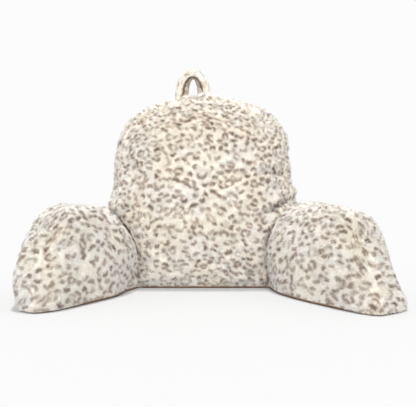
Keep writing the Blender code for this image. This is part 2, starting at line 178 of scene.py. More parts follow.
back = {
    # outline: half width, heights of its top, shoulders and foot, how boxy it is top left, top right and below
    "halfWidth": 0.2175, "heights": (0.474, 0.307, -0.020), "powers": (2.5, 2.5, 7.0),
    "middleHeight": 0.250,
    # where the two seams stand on the floor, and how far they lean in per metre of height
    "frontSeam": 0.079, "frontLean": 0.075, "rearSeam": 0.272, "rearLean": 0.120,
    "frontCrown": 0.036, "rearCrown": 0.022, "boxingBulge": 0.013,
    "seamDepth": 0.004, "seamWidth": 0.007,   # how far the thread draws a seam in, and how broadly
    "columns": 640, "frontRows": 92, "boxingRows": 84, "rearRows": 76,
    "ringPower": 0.9, "seamRing": 0.985,      # rings crowd a little towards the seam and stop just inside it
    "skinUnderPile": 0.0048, "clothStart": (0.31, 0.24),
    # height, spread, rise: where the arms press the sides outwards
    "flares": ((0.190, 0.055, 0.016), (0.050, 0.100, 0.010)),
    # x, z, turn in degrees, half length, half width, rise
    "folds": (
        (0.176, 0.3040, 3.0, 0.036, 0.0070, 0.0075),
        (0.182, 0.2800, -5.0, 0.040, 0.0062, -0.0130),
        (0.196, 0.2540, -34.0, 0.050, 0.0160, 0.0110),
        (0.192, 0.2010, 25.0, 0.042, 0.0085, -0.0180),
        (-0.205, 0.225, 30.0, 0.050, 0.022, 0.007),
        (0.052, 0.480, 75.0, 0.030, 0.008, -0.007),
        (0.075, 0.462, -40.0, 0.032, 0.014, 0.005),
        (0.073, 0.4455, -48.0, 0.028, 0.0055, -0.0070),
        (0.174, 0.4180, -12.0, 0.034, 0.0065, -0.0080),
        (0.160, 0.432, 40.0, 0.030, 0.010, -0.005),
        (-0.120, 0.4450, 38.0, 0.030, 0.0080, -0.0050),
        (-0.190, 0.3350, 70.0, 0.040, 0.0100, -0.0045),
        (0.000, 0.195, 0.0, 0.150, 0.030, -0.005),
    ),
    # rise, wavelength, seed and reach of the unevenness beside the seams: puckers, and finer crumples
    "unevenness": ((0.0030, 0.040, 5, 0.030), (0.0016, 0.020, 6, 0.045)),
    # widening of the cloth's pattern towards the front seam, its scale round and across the boxing, its start behind
    "frontWiden": 0.30, "boxingCloth": (1.30, 1.35), "rearStart": (0.17, 0.11),
    "seamPile": 0.35, "seamPileRows": 2.2,    # how much shorter the pile is at a seam, and over how many rows
    # middle, reach, way: the shoulders, and the plush that rises before the carry loop's right leg
    "pushes": (
        ((-0.152, 0.14, 0.445), 0.050, (0.002, 0.0, -0.007)),
        ((-0.222, 0.14, 0.350), 0.050, (0.003, 0.0, 0.0)),
        ((0.195, 0.14, 0.385), 0.045, (0.003, 0.0, 0.004)),
        ((0.224, 0.14, 0.335), 0.036, (-0.010, 0.0, 0.0)),
        ((-0.234, 0.12, 0.234), 0.036, (0.010, 0.0, 0.0)),
        ((-0.086, 0.14, 0.480), 0.032, (0.0, 0.0, -0.005)),
        ((0.086, 0.14, 0.478), 0.046, (0.0, 0.0, -0.0065)),
        ((0.009, 0.145, 0.474), 0.025, (0.0, 0.0, 0.011)),
    ),
}


def handFilled(places):
    # slow crossed waves, as a hand-filled cushion has: three sines, each 1.2 mm high
    x, y, z = np.moveaxis(places, -1, 0)
    return 0.0012 * (np.sin(47.0 * x + 21.0 * z + 0.6) + np.sin(33.0 * z - 38.0 * x + 25.0 * y + 2.1)
                     + np.sin(52.0 * y + 29.0 * z - 1.3))


def offTheFloor(places):
    # 0 at the floor and below it, 1 from 25 mm up
    return eased(np.clip(places[..., 2] / 0.025, 0.0, 1.0))


def boxingBulge(share):
    # how far the boxing stands out between its seams: a sine across it to the power 0.8
    return back["boxingBulge"] * np.sin(math.pi * share) ** 0.8


def seamLines(z):
    # distance back of the front and the rear seam at a height, each a straight lean
    return back["frontSeam"] + back["frontLean"] * z, back["rearSeam"] - back["rearLean"] * z


def foldsAt(places, folds):
    # sum of long bells seen from the front, negative ones troughs
    relief = np.zeros(places.shape[:-1])
    for x, z, turn, reach, spread, rise in folds:
        cosine, sine = math.cos(math.radians(turn)), math.sin(math.radians(turn))
        dx, dz = places[..., 0] - x, places[..., 2] - z
        relief += rise * bell(dx * cosine + dz * sine, reach) * bell(dz * cosine - dx * sine, spread)
    return relief


def backFolds(places):
    # the folds fade from the front seam to the rear one
    front, rear = seamLines(places[..., 2])
    return foldsAt(places, back["folds"]) * (1.0 - np.clip((places[..., 1] - front) / (rear - front), 0.0, 1.0) ** 2)


def backOutline(count):
    # the rounded outline, widened where the arms press its sides outwards
    outline, travelled = roundedOutline(back["halfWidth"], back["heights"], back["powers"], count)
    flare = sum(rise * bell(outline[:, 1] - height, spread) for height, spread, rise in back["flares"])
    outline[:, 0] *= 1.0 + flare / back["halfWidth"]
    return outline, travelled


def backSheet():
    # front panel from its middle out to its seam, the boxing over to the rear seam, the rear panel back in
    outline, travelled = backOutline(back["columns"])
    step = np.roll(outline[:-1], -1, axis=0) - np.roll(outline[:-1], 1, axis=0)
    outwards = unit(np.column_stack((step[:, 1], -step[:, 0])))
    outwards = np.vstack((outwards, outwards[:1]))
    middle = np.array((0.0, back["middleHeight"]))
    ringIn = np.linspace(0.0, 1.0, back["frontRows"] + 1)[1:] ** back["ringPower"] * back["seamRing"]
    share = np.linspace(0.0, 1.0, back["boxingRows"])
    ringOut = np.linspace(1.0, 0.0, back["rearRows"] + 1)[:-1] ** back["ringPower"] * back["seamRing"]

    frontFlat = middle + (outline - middle) * ringIn[:, None, None]
    frontY = seamLines(frontFlat[..., 1])[0] - back["frontCrown"] * panelCrown(ringIn)[:, None]
    sideFlat = outline + outwards * boxingBulge(share)[:, None, None]
    sideFront, sideRear = seamLines(sideFlat[..., 1])
    sideY = sideFront + (sideRear - sideFront) * share[:, None]
    rearFlat = middle + (outline - middle) * ringOut[:, None, None]
    rearY = seamLines(rearFlat[..., 1])[1] + back["rearCrown"] * panelCrown(ringOut)[:, None]

    flat = np.concatenate((frontFlat, sideFlat, rearFlat))
    y = np.concatenate((frontY, sideY, rearY))
    places = np.stack((flat[..., 0], y, flat[..., 1]), axis=-1)
    front, rear = seamLines(places[..., 2])
    halfHeight = back["heights"][0] - back["middleHeight"]
    fromMiddle = np.hypot(places[..., 0] / back["halfWidth"], (places[..., 2] - back["middleHeight"]) / halfHeight)
    nearest = np.minimum(np.abs(places[..., 1] - front), np.abs(places[..., 1] - rear))
    seam = -back["seamDepth"] * bell(nearest, back["seamWidth"]) * (fromMiddle > 0.85)
    rim = np.clip(fromMiddle * 5.0 - 3.0, 0.0, 1.0)
    for rise, wave, seed, reach in back["unevenness"]:
        seam = seam + rise * ripple(places, wave, seed) * bell(nearest, reach) * rim
    lift = liftOf(places)
    relief = (seam + backFolds(places) + handFilled(places)) * offTheFloor(places)
    places = pushed(places + lift * relief[..., None], back["pushes"])

    around = np.broadcast_to(travelled, sideY.shape)
    cloth = np.concatenate((
        (frontFlat - middle) * (1.0 + back["frontWiden"] * ringIn ** 3)[:, None, None] + back["clothStart"],
        np.stack((around, sideY), axis=-1) * back["boxingCloth"],
        rearFlat + back["rearStart"]))
    nearSeam = np.minimum(np.abs(np.arange(len(y)) - len(ringIn)),
                          np.abs(np.arange(len(y)) - len(ringIn) - len(share)))
    pile = 1.0 - back["seamPile"] * bell(nearSeam, back["seamPileRows"])
    return {"places": places, "lift": lift, "cloth": cloth, "pile": np.broadcast_to(pile[:, None], y.shape)}


def insideBack(places, margin):
    # True where a point lies inside the back cushion's tips, drawn in by the margin
    outline, _ = backOutline(720)
    middle = np.array((0.0, back["middleHeight"]))
    flat = places[..., [0, 2]] - floorShift[[0, 2]] - middle
    y = places[..., 1] - floorShift[1]
    spoke = np.arctan2(outline[:-1, 1] - middle[1], outline[:-1, 0])
    order = np.argsort(spoke)
    reach = np.interp(np.arctan2(flat[..., 1], flat[..., 0]), spoke[order],
                      np.hypot(outline[:-1, 0], outline[:-1, 1] - middle[1])[order], period=tau)
    distance = np.hypot(flat[..., 0], flat[..., 1])
    ring = np.clip(distance / reach, 0.0, 1.0)
    front, rear = seamLines(flat[..., 1] + middle[1])
    share = np.clip((y - front) / (rear - front), 0.0, 1.0)
    within = distance < reach + boxingBulge(share) - margin
    return (within & (y > front - back["frontCrown"] * panelCrown(ring) + margin)
            & (y < rear + back["rearCrown"] * panelCrown(ring) - margin))


# the arms
# root: the inner end on the floor. fullness: how boxy the inner and the outer side are. belly: height of the widest
# place, as a share. crown: bulge of the end panel. corner: how far its outer foot stands out. hemFrom: how far before
# the end the plush begins to hang over the binding

armLeft = {
    "name": "arm_left", "side": -1, "root": (0.1665, 0.062), "splay": 21.8,
    "fullness": (2.4, 3.7), "belly": 0.27, "crown": 0.034, "corner": -0.006, "hemFrom": 0.110,
    "clothStart": (0.07, 0.31),
    # x, z, turn in degrees, half length, half width, rise: a tuck over the end panel and a swell above it
    "folds": (
        (-0.2735, 0.1290, -8.0, 0.018, 0.0050, -0.0085),
        (-0.2790, 0.1560, 28.0, 0.026, 0.0130, 0.0055),
        (-0.2380, 0.1080, 86.0, 0.032, 0.0065, -0.0045),
        (-0.2000, 0.1300, 80.0, 0.045, 0.0080, -0.0030),
    ),
    # middle, reach, way: the outer shoulder, the crest and inner shoulder by the back, the outer corner of the foot
    "pushes": (
        ((-0.330, -0.160, 0.190), 0.048, (0.005, 0.0, -0.010)),
        ((-0.345, -0.082, 0.192), 0.045, (0.003, 0.0, -0.006)),
        ((-0.366, -0.165, 0.112), 0.030, (0.005, 0.0, -0.002)),
        ((-0.362, -0.175, 0.132), 0.045, (-0.007, 0.0, 0.003)),
        ((-0.240, 0.060, 0.205), 0.080, (0.0, 0.0, -0.006)),
        ((-0.180, 0.055, 0.185), 0.062, (-0.012, 0.0, -0.022)),
        ((-0.170, 0.055, 0.130), 0.050, (-0.011, 0.0, -0.003)),
        ((-0.166, 0.030, 0.030), 0.060, (-0.014, 0.0, 0.0)),
        ((-0.192, 0.012, 0.000), 0.045, (-0.012, 0.0, 0.0)),
        ((-0.378, -0.212, 0.000), 0.040, (0.013, 0.008, 0.002)),
    ),
    # along, inner, outer, height, slope back per metre of height, skew per metre across
    "sections": (
        (-0.150, 0.050, 0.092, 0.100, 0.00, 0.00),
        (-0.135, 0.030, 0.125, 0.150, 0.00, 0.00),
        (-0.100, 0.010, 0.160, 0.188, 0.00, 0.00),
        (-0.050, -0.008, 0.179, 0.203, 0.00, 0.00),
        (0.020, -0.026, 0.182, 0.207, 0.00, 0.00),
        (0.110, -0.030, 0.166, 0.206, 0.02, 0.00),
        (0.190, -0.023, 0.147, 0.206, 0.06, 0.02),
        (0.250, -0.015, 0.133, 0.202, 0.14, 0.06),
        (0.292, -0.009, 0.121, 0.188, 0.24, 0.09),
        (0.312, -0.005, 0.115, 0.175, 0.30, 0.11),
        (0.326, 0.002, 0.107, 0.156, 0.35, 0.12),
    ),
}

armRight = {
    "name": "arm_right", "side": 1, "root": (0.1695, 0.091), "splay": 20.7,
    "fullness": (2.2, 2.6), "belly": 0.17, "crown": 0.034, "corner": 0.013, "hemFrom": 0.080,
    "clothStart": (0.33, 0.12),
    "folds": (
        (0.3400, 0.1430, 20.0, 0.022, 0.0055, -0.0070),
        (0.3200, 0.1600, 15.0, 0.030, 0.0100, 0.0040),
        (0.2300, 0.0500, -38.0, 0.040, 0.0070, -0.0040),
        (0.2500, 0.1000, 70.0, 0.040, 0.0090, -0.0035),
    ),
    "pushes": (
        ((0.376, -0.240, 0.060), 0.060, (-0.009, 0.0, -0.004)),
        ((0.320, -0.075, 0.205), 0.060, (0.0, 0.0, -0.006)),
        ((0.356, -0.140, 0.170), 0.032, (0.0, 0.0, 0.005)),
        ((0.380, -0.140, 0.116), 0.036, (-0.002, 0.0, -0.001)),
        ((0.392, -0.208, 0.032), 0.030, (0.0, 0.0, -0.002)),
        ((0.364, -0.205, 0.134), 0.042, (-0.008, 0.0, -0.007)),
        ((0.200, 0.065, 0.190), 0.055, (0.004, 0.0, -0.006)),
        ((0.158, 0.045, 0.010), 0.060, (0.016, 0.0, 0.0)),
    ),
    "sections": (
        (-0.128, 0.050, 0.092, 0.100, 0.00, 0.00),
        (-0.112, 0.030, 0.125, 0.150, 0.00, 0.00),
        (-0.078, 0.008, 0.160, 0.192, 0.00, 0.00),
        (-0.028, -0.014, 0.182, 0.207, 0.00, 0.00),
        (0.042, -0.038, 0.186, 0.212, 0.00, 0.00),
        (0.140, -0.039, 0.168, 0.208, 0.02, 0.00),
        (0.230, -0.029, 0.149, 0.201, 0.08, 0.06),
        (0.300, -0.016, 0.136, 0.192, 0.18, 0.14),
        (0.345, -0.006, 0.126, 0.178, 0.26, 0.22),
        (0.368, -0.002, 0.119, 0.165, 0.31, 0.27),
        (0.382, 0.006, 0.111, 0.147, 0.34, 0.29),
    ),
}

arms = {
    # height and boxiness of the sections' foot, fading height of the corner, middle of the end panel as a share
    "foot": -0.026, "footPower": 4.2, "cornerHeight": 0.040, "endMiddle": 0.45, "skinUnderPile": 0.0048,
    "columns": 250, "alongRows": 190, "rootRows": 24, "endRows": 36, "endRings": (0.985, 0.03),
    "softRows": 18.0, "softRounds": 90,       # the rows beside the end seam are softened, and how often
    # shrinking of the pattern along the arm, its scale, the first row that is laid flat
    "clothAlong": 0.92, "printScale": 1.02, "flatFrom": 22,
    # shares of the height: where the end panel's pattern stops following the seam, and where the seam's slope is read
    "endClothTop": 0.72, "seamSlope": (0.15, 0.70),
    "seamPile": 0.10, "seamPileRows": 2.0,    # how much shorter the pile is at the end seam, and over how many rows
    "hemFade": 0.05,
}
armOf = {arm["name"]: arm for arm in (armLeft, armRight)}


def armDome(arm, along):
    # section across an arm at a station: a superellipse dome over a rounded belly, measured from its crest
    table = np.array(arm["sections"])
    inner, outer, height, slope, skew = (smoothThrough(table[:, 0], table[:, k], along) for k in range(1, 6))
    half = (outer - inner) * 0.5
    dome, travelled = roundedOutline(half, (height, arm["belly"] * height, arms["foot"]),
                                     (*arm["fullness"], arms["footPower"]), arms["columns"])
    upper = dome[:, 1] > arm["belly"] * height
    travelled = travelled - np.interp(0.0, -dome[upper, 0], travelled[upper])
    nearEnd = np.clip((along - table[-4, 0]) / (table[-1, 0] - table[-4, 0]), 0.0, 1.0)
    outside = np.clip(dome[:, 0] / half, 0.0, 1.0) ** 2
    dome[:, 0] += arm["corner"] * nearEnd * outside * bell(np.maximum(dome[:, 1], 0.0), arms["cornerHeight"])
    return dome, travelled, (inner + outer) * 0.5, height, slope, skew


def armSection(arm, along, ring=1.0, bulge=0.0):
    # the dome shrunk by ring towards its middle and carried forward by bulge, then set on the splayed arm
    dome, travelled, centre, height, slope, skew = armDome(arm, along)
    middle = np.array((0.0, height * arms["endMiddle"]))
    dome = middle + (dome - middle) * ring
    across = centre + dome[:, 0]
    forward = along + bulge - slope * dome[:, 1] - skew * across
    splay = math.radians(arm["splay"])
    x = arm["root"][0] + forward * math.sin(splay) + across * math.cos(splay)
    y = arm["root"][1] - forward * math.cos(splay) + across * math.sin(splay)
    return np.column_stack((arm["side"] * x, y, dome[:, 1])), across, travelled, dome[:, 1]


def inArm(arm, places):
    # the same places as distance forward along an arm, distance across it and height
    splay = math.radians(arm["splay"])
    x, y = arm["side"] * places[..., 0] - arm["root"][0], arm["root"][1] - places[..., 1]
    return x * math.sin(splay) + y * math.cos(splay), x * math.cos(splay) - y * math.sin(splay), places[..., 2]


def towardsEnd(arm, places):
    # 0 along most of an arm's foot, rising to 1 where its plush comes down over the binding at the end
    forward = inArm(arm, places)[0]
    return np.clip((forward - arm["sections"][-1][0] + arm["hemFrom"]) / arms["hemFade"], 0.0, 1.0)


def endCloth(arm, places, seamCloth):
    # the end panel's pattern runs on from the inner side: its distance from the seam at the same height, square to it
    forward, across, height = inArm(arm, places)
    inner = np.arange(places.shape[1] // 2, places.shape[1])
    crest = np.argmax(height[0, inner])
    inner = inner[crest:][::-1]
    inner = inner[height[0, inner] > 0.0]
    most = height[0].max()

    def onSeam(at, values):
        # a value of the seam's inner side, read at a height
        return np.interp(at, height[0, inner], values[inner])

    level = np.clip(height[1:], 0.0, arms["endClothTop"] * most)
    seamForward, seamAcross, u, v = (onSeam(level, values)
                                     for values in (forward[0], across[0], seamCloth[:, 0], seamCloth[:, 1]))
    low, high = (np.array([onSeam(share * most, seamCloth[:, k]) for k in (0, 1)]) for share in arms["seamSlope"])
    up = unit(high - low)
    away = np.array((-up[1], up[0])) * np.sign(-up[1])
    gone = np.hypot(across[1:] - seamAcross, forward[1:] - seamForward) * np.sign(across[1:] - seamAcross)
    return np.stack((u, v), axis=-1) + gone[..., None] * away + (height[1:] - level)[..., None] * up


def armSheet(arm):
    # the wrap panel from behind the root to the end seam, then the crowned end panel in to its middle
    table = np.array(arm["sections"])
    stations = np.concatenate((
        np.linspace(table[0, 0], table[2, 0], arms["rootRows"], endpoint=False),
        np.linspace(table[2, 0], table[-1, 0], arms["alongRows"] - arms["rootRows"])))
    rings = np.linspace(*arms["endRings"], arms["endRows"])
    wrap = [armSection(arm, along) for along in stations]
    end = [armSection(arm, table[-1, 0], ring, arm["crown"] * panelCrown(ring)) for ring in rings]
    places = np.array([section[0] for section in wrap + end])
    seamRow = len(stations) - 1
    near = bell(np.arange(len(places)) - seamRow, arms["softRows"])[:, None, None]
    for _ in range(arms["softRounds"]):
        places = places + (softened(places) - places) * near
    places = pushed(places, arm["pushes"])
    lift = liftOf(places)
    turned = np.clip(-1.5 * lift[..., 1], 0.0, 1.0)   # the folds lie only where the cloth faces the front
    relief = (handFilled(places) + foldsAt(places, arm["folds"]) * turned) * offTheFloor(places)
    places = places + lift * relief[..., None]
    steps = np.linalg.norm(np.diff(places[:len(stations)], axis=0), axis=-1)
    gone = np.vstack((np.zeros_like(steps[:1]), np.cumsum(steps, axis=0))) * arms["clothAlong"]
    wrapCloth = np.stack((gone, [section[2] for section in wrap]), axis=-1)
    first = arms["flatFrom"]
    flat = flattened(places[first:seamRow + 1], wrapCloth[first:], arms["clothAlong"])
    wrapCloth = np.concatenate((wrapCloth[:first] + flat[0] - wrapCloth[first], flat))
    cloth = np.concatenate((wrapCloth, endCloth(arm, places[seamRow:], wrapCloth[-1])))
    cloth = cloth * arms["printScale"] + arm["clothStart"]
    pile = 1.0 - arms["seamPile"] * bell(np.arange(len(places)) - seamRow, arms["seamPileRows"])
    hem = nap["lowest"] + (nap["lowestAtEnds"] - nap["lowest"]) * towardsEnd(arm, places)
    return {"places": places, "lift": lift, "cloth": cloth, "hem": hem,
            "pile": np.broadcast_to(pile[:, None], places.shape[:2])}


def insideArm(arm, places, margin):
    # True where a point lies inside an arm near its root, where its sections stand square to it
    table = np.array(arm["sections"])
    along, across, z = inArm(arm, pushed(places - floorShift, arm["pushes"], -1.0))
    inner, outer, height = (smoothThrough(table[:, 0], table[:, k], along) for k in range(1, 4))
    half = np.maximum((outer - inner) * 0.5 - margin, 0.001)
    off = (across - (inner + outer) * 0.5) / half
    belly = arm["belly"] * height
    up = np.maximum(z - belly, 0.0) / np.maximum(height - belly - margin, 0.001)
    fullness = np.where(off < 0.0, arm["fullness"][0], arm["fullness"][1])
    return ((np.abs(off) ** fullness + up ** fullness < 1.0)
            & (along > table[0, 0] + margin) & (along < table[-1, 0] - margin))


def insideArms(places, margin):
    # True where a point lies inside either arm
    return insideArm(armLeft, places, margin) | insideArm(armRight, places, margin)


# the carry loop

loop = {
    "middle": (-0.0262, 0.170), "top": 0.5572,
    # half span, height of the legs, drop of its top: an upright half ellipse in front and a narrower one behind
    "front": (0.0385, 0.0570, 0.0085), "rear": (0.0150, 0.0495, 0.0160),
    # the band's width and half thickness, and the roll near its front edge: more of it, where from -1 to 1, how broad
    "width": 0.042, "half": 0.0046, "roll": 0.0074, "rollAt": -0.72, "rollSpread": 0.28,
    "boxiness": 0.5, "foot": 0.030, "footTurn": 0.5, "rows": 150, "columns": 84, "skinUnderPile": 0.0016,
    # the seam inside the loop, its place across and its depth, and behind it a painted shade that turns the plush tan,
    # and shorter pile; the first share of tan is the loop's own tone
    "seamAt": -0.36, "seamDeep": -1.22, "seamFade": 0.10, "tint": (0.10, 0.90), "shorter": 0.62,
    "clothStart": 0.21, "clothRound": 0.018,
}


def loopSheet():
    # each arch: x = span cos a, z = top - drop - legs (1 - sin a), then straight down into the back
    turn = np.linspace(-loop["footTurn"], math.pi + loop["footTurn"], loop["rows"])
    inArch = np.clip(turn, 0.0, math.pi)
    below = np.abs(turn - inArch) / loop["footTurn"] * loop["foot"]
    deep = loop["width"] * 0.5 - loop["half"]
    arches = [np.column_stack((span * np.cos(inArch), np.full(len(turn), side * deep),
                               loop["top"] - drop - legs * (1.0 - np.sin(inArch)) - below))
              for (span, legs, drop), side in ((loop["front"], -1.0), (loop["rear"], 1.0))]
    middle = (arches[0] + arches[1]) * 0.5 + (*loop["middle"], 0.0)
    across = unit(arches[1] - arches[0])
    outwards = unit(np.cross(across, unit(np.gradient(middle, axis=0))))
    outwards *= np.sign(outwards[len(turn) // 2, 2])
    halfWidth = np.linalg.norm(arches[1] - arches[0], axis=1) * 0.5 + loop["half"]

    def onBand(share, height):
        # share runs from -1 at the front edge to 1 at the rear one, height from -1 inside the loop to 1 outside
        half = loop["half"] + loop["roll"] * bell(share - loop["rollAt"], loop["rollSpread"])
        return (middle[:, None] + outwards[:, None] * (half * height)[None, :, None]
                + across[:, None] * (share[None] * halfWidth[:, None])[..., None])

    around = np.linspace(0.0, tau, loop["columns"] + 1)
    height = np.sign(np.cos(around)) * np.abs(np.cos(around)) ** loop["boxiness"]
    share = np.sign(np.sin(around)) * np.abs(np.sin(around)) ** loop["boxiness"]
    travelled = np.concatenate(((0.0,), np.cumsum(np.linalg.norm(np.diff(middle, axis=0), axis=1))))
    # behind the seam, on the loop's inner face, the plush is drawn tan: painted shade
    inside = np.clip((share - loop["seamAt"]) / loop["seamFade"] + 0.5, 0.0, 1.0) * (height < 0.0)
    inside = np.broadcast_to(inside, (len(turn), len(around)))
    places = onBand(share, height)
    cloth = np.broadcast_arrays(travelled[:, None] + loop["clothStart"], around * loop["clothRound"])
    return {"places": places, "lift": facing(places), "cloth": np.stack(cloth, axis=-1),
            "tint": loop["tint"][0] + loop["tint"][1] * inside, "pile": 1.0 - loop["shorter"] * inside,
            "seam": onBand(np.array((loop["seamAt"],)), np.array((loop["seamDeep"],)))[:, 0]}


# from sheets to skins and pile

baseLevel = 0.0019              # lowest places of the skins, just over the base panels
armLevel = baseLevel + 0.0002   # the arms' feet sit a hair above the back's, so that the cuts between them are clean
footLevel = baseLevel + 0.0012  # the foot lines are taken here, and the pile starts here


def settle(sheet, depth, level=baseLevel):
    # lays the skin under the pile: each point moves in square to the unfolded form, and nothing goes below the level
    places = sheet["places"] + floorShift - sheet["lift"] * depth
    places[..., 2] = np.maximum(places[..., 2], level)
    sheet["skin"], sheet["level"] = places, level
    sheet["normal"] = facing(places)
    return sheet


seams = {
    # the groove between an arm and the back: its depth and reach, and how much shorter its pile is, and how far
    "press": 0.0050, "pressReach": 0.0095, "shortPile": 0.85, "pileReach": 0.0062,
    # how open an arm's seam is at a few heights, and the least share of the groove where it is closed
    "openAt": ((0.05, 0.085, 0.112, 0.155, 0.172), (0.30, 0.40, 1.0, 1.0, 0.20)), "closed": 0.4,
    # the bindings thin out towards the arms' ends, and stop where the plush covers them
    "bindingHeight": 0.0036, "bindingOut": 0.0026, "bindingThins": 0.7, "bindingEnds": 0.85,
    "bindingClear": 0.001, "loopSeamClear": 0.002, "joinsFrom": 0.001,   # clear of the back, and of the floor
    "step": 0.0022, "sides": 8, "shortest": 8,
    # radius, share that it swells and thins by, length of a swelling, seed; the last two are dark tubes laid in the
    # seams' grooves, painted shadow
    "binding": (0.0014, 0.50, 0.012, 31), "thread": (0.0017, 0.50, 0.012, 41), "loopSeamShadow": (0.0027, 0.85, 0.008, 51),
}


def evenly(path, step, closed=False, rounds=6):
    # the same path at equal steps, softened by its neighbours
    if closed:
        path = np.vstack((path, path[:1]))
    gone = np.concatenate(((0.0,), np.cumsum(np.linalg.norm(np.diff(path, axis=0), axis=1))))
    wanted = np.linspace(0.0, gone[-1], max(int(gone[-1] / step), 4) + 1)
    path = np.column_stack([np.interp(wanted, gone, path[:, k]) for k in range(3)])
    for _ in range(rounds):
        if closed:
            path[:-1] = softenedRound(path[:-1])
            path[-1] = path[0]
        else:
            path = softened(path)
    return path


def meetingLine(sheet, halvings=14):
    # on each column of an arm's skin, the place where it comes out of the back cushion, found by halving
    skin = sheet["skin"]
    depth = back["skinUnderPile"]
    inside = insideBack(skin, depth)
    last = len(skin) - 1 - np.argmax(inside[::-1], axis=0)
    column = np.arange(skin.shape[1])
    column = column[inside.any(axis=0) & (skin[last, column, 2] > baseLevel + seams["joinsFrom"])]
    near, far = skin[last[column], column], skin[last[column] + 1, column]
    for _ in range(halvings):
        middle = (near + far) * 0.5
        within = insideBack(middle, depth)[:, None]
        near, far = np.where(within, middle, near), np.where(within, far, middle)
    return evenly(near, seams["step"])


def toPath(places, path):
    # distance from each place to the nearest point of a path, taken a few rows at a time
    return np.stack([np.linalg.norm(row[:, None] - path[None], axis=-1).min(axis=1) for row in places])


def pressAlong(sheet, path):
    # a bell-shaped groove in the skin along a seam, with shorter pile in it
    distance = toPath(sheet["skin"], path)
    opened = seams["closed"] + (1.0 - seams["closed"]) * np.interp(sheet["skin"][..., 2], *seams["openAt"])
    groove = seams["press"] * opened * bell(distance, seams["pressReach"]) * offTheFloor(sheet["skin"])
    sheet["skin"] = sheet["skin"] - sheet["lift"] * groove[..., None]
    sheet["skin"][..., 2] = np.maximum(sheet["skin"][..., 2], sheet["level"])
    sheet["pile"] = sheet["pile"] * (1.0 - seams["shortPile"] * opened * bell(distance, seams["pileReach"]))
    sheet["normal"] = facing(sheet["skin"])


def footLine(skin, level):
    # where the lines of a grid cross a level, in order round their middle, and the way out square to the line
    crossings = []
    for a, b in ((skin[:-1, :-1], skin[1:, :-1]), (skin[:, :-1], skin[:, 1:])):
        hit = (a[..., 2] > level) != (b[..., 2] > level)
        a, b = a[hit], b[hit]
        crossings.append(a + (b - a) * ((level - a[:, 2]) / (b[:, 2] - a[:, 2]))[:, None])
    line = np.vstack(crossings)
    off = line - (line.max(axis=0) + line.min(axis=0)) * 0.5
    line = evenly(line[np.argsort(np.arctan2(off[:, 1], off[:, 0]))], seams["step"], closed=True)[:-1]
    ahead = np.roll(line, -1, axis=0) - np.roll(line, 1, axis=0)
    return line, unit(np.column_stack((ahead[:, 1], -ahead[:, 0], np.zeros(len(ahead)))))


def runsOf(line, keep):
    # the stretches of a closed line where keep is True
    start = np.argmin(keep)
    line, keep = np.roll(line, -start, axis=0), np.roll(keep, -start)
    stretches = np.split(np.arange(len(keep)), np.nonzero(np.diff(keep))[0] + 1)
    return [line[stretch] for stretch in stretches if keep[stretch[0]] and len(stretch) > seams["shortest"]]


def insideOut(corners, faces):
    # True where a closed mesh faces inwards: its tetrahedra to the corners' middle add up to less than nothing
    shape = (corners - corners.mean(axis=0))[faces]
    return np.einsum("ij,ij->i", shape[:, 0], np.cross(shape[:, 1], shape[:, 2])).sum() < 0.0


def tubeAlong(name, paths, kind, share=None):
    # round tubes: rings of radius x share x (1 + swell x ripple) square to each path, closed by a point at both ends
    allCorners, allFaces, count = [], [], 0
    sides = seams["sides"]
    radius, swell, wave, seed = seams[kind]
    for path in paths:
        ahead = unit(np.gradient(path, axis=0))
        side = unit(np.cross(ahead, path - path.mean(axis=0) + (0.0, 0.0, 1e-4)))
        other = np.cross(ahead, side)
        thick = radius * (1.0 + swell * ripple(path, wave, seed)).clip(0.3, 1.8)
        if share is not None:
            thick *= share(path)
        toEnd = np.minimum(np.arange(len(path)), np.arange(len(path))[::-1])
        thick *= np.minimum(1.0, toEnd / 3.0 + 0.25)   # the last rings narrow to a blunt end
        turn = np.arange(sides) * tau / sides
        spoke = side[:, None] * np.cos(turn)[None, :, None] + other[:, None] * np.sin(turn)[None, :, None]
        rings = path[:, None] + thick[:, None, None] * spoke
        start = np.arange(len(path) - 1)[:, None] * sides
        here, after = np.arange(sides), (np.arange(sides) + 1) % sides
        a, b, c, d = start + here, start + after, start + sides + after, start + sides + here
        ends = len(path) * sides
        faces = np.vstack((np.stack((a, b, c), axis=-1).reshape(-1, 3), np.stack((a, c, d), axis=-1).reshape(-1, 3),
                           np.column_stack((np.full(sides, ends), after, here)),
                           np.column_stack((np.full(sides, ends + 1), ends - sides + here, ends - sides + after))))
        corners = np.vstack((rings.reshape(-1, 3), path[:1], path[-1:]))
        if insideOut(corners, faces):
            faces = faces[:, ::-1]
        allCorners.append(corners)
        allFaces.append(faces + count)
        count += len(corners)
    return newMesh(name, np.vstack(allCorners), np.vstack(allFaces))


def newMesh(name, corners, faces, maps=(), normals=None):
    # a mesh from arrays: corners (n, 3), faces (m, 3 or 4), and a uv map for each face corner
    made = bpy.data.meshes.new(name)
    made.vertices.add(len(corners))
    made.vertices.foreach_set("co", corners.astype(np.float32).ravel())
    made.loops.add(faces.size)
    made.loops.foreach_set("vertex_index", faces.astype(np.int32).ravel())
    made.polygons.add(len(faces))
    made.polygons.foreach_set("loop_start", (np.arange(len(faces)) * faces.shape[1]).astype(np.int32))
    made.update(calc_edges=True)
    made.polygons.foreach_set("use_smooth", np.ones(len(faces), bool))
    for mapName, values in maps:
        made.uv_layers.new(name=mapName).uv.foreach_set("vector", values.astype(np.float32).ravel())
    if normals is not None:
        made.normals_split_custom_set_from_vertices(normals.astype(np.float32))
    made.validate()
    made.update()
    piece = bpy.data.objects.new(name, made)
    bpy.context.scene.collection.objects.link(piece)
    return piece


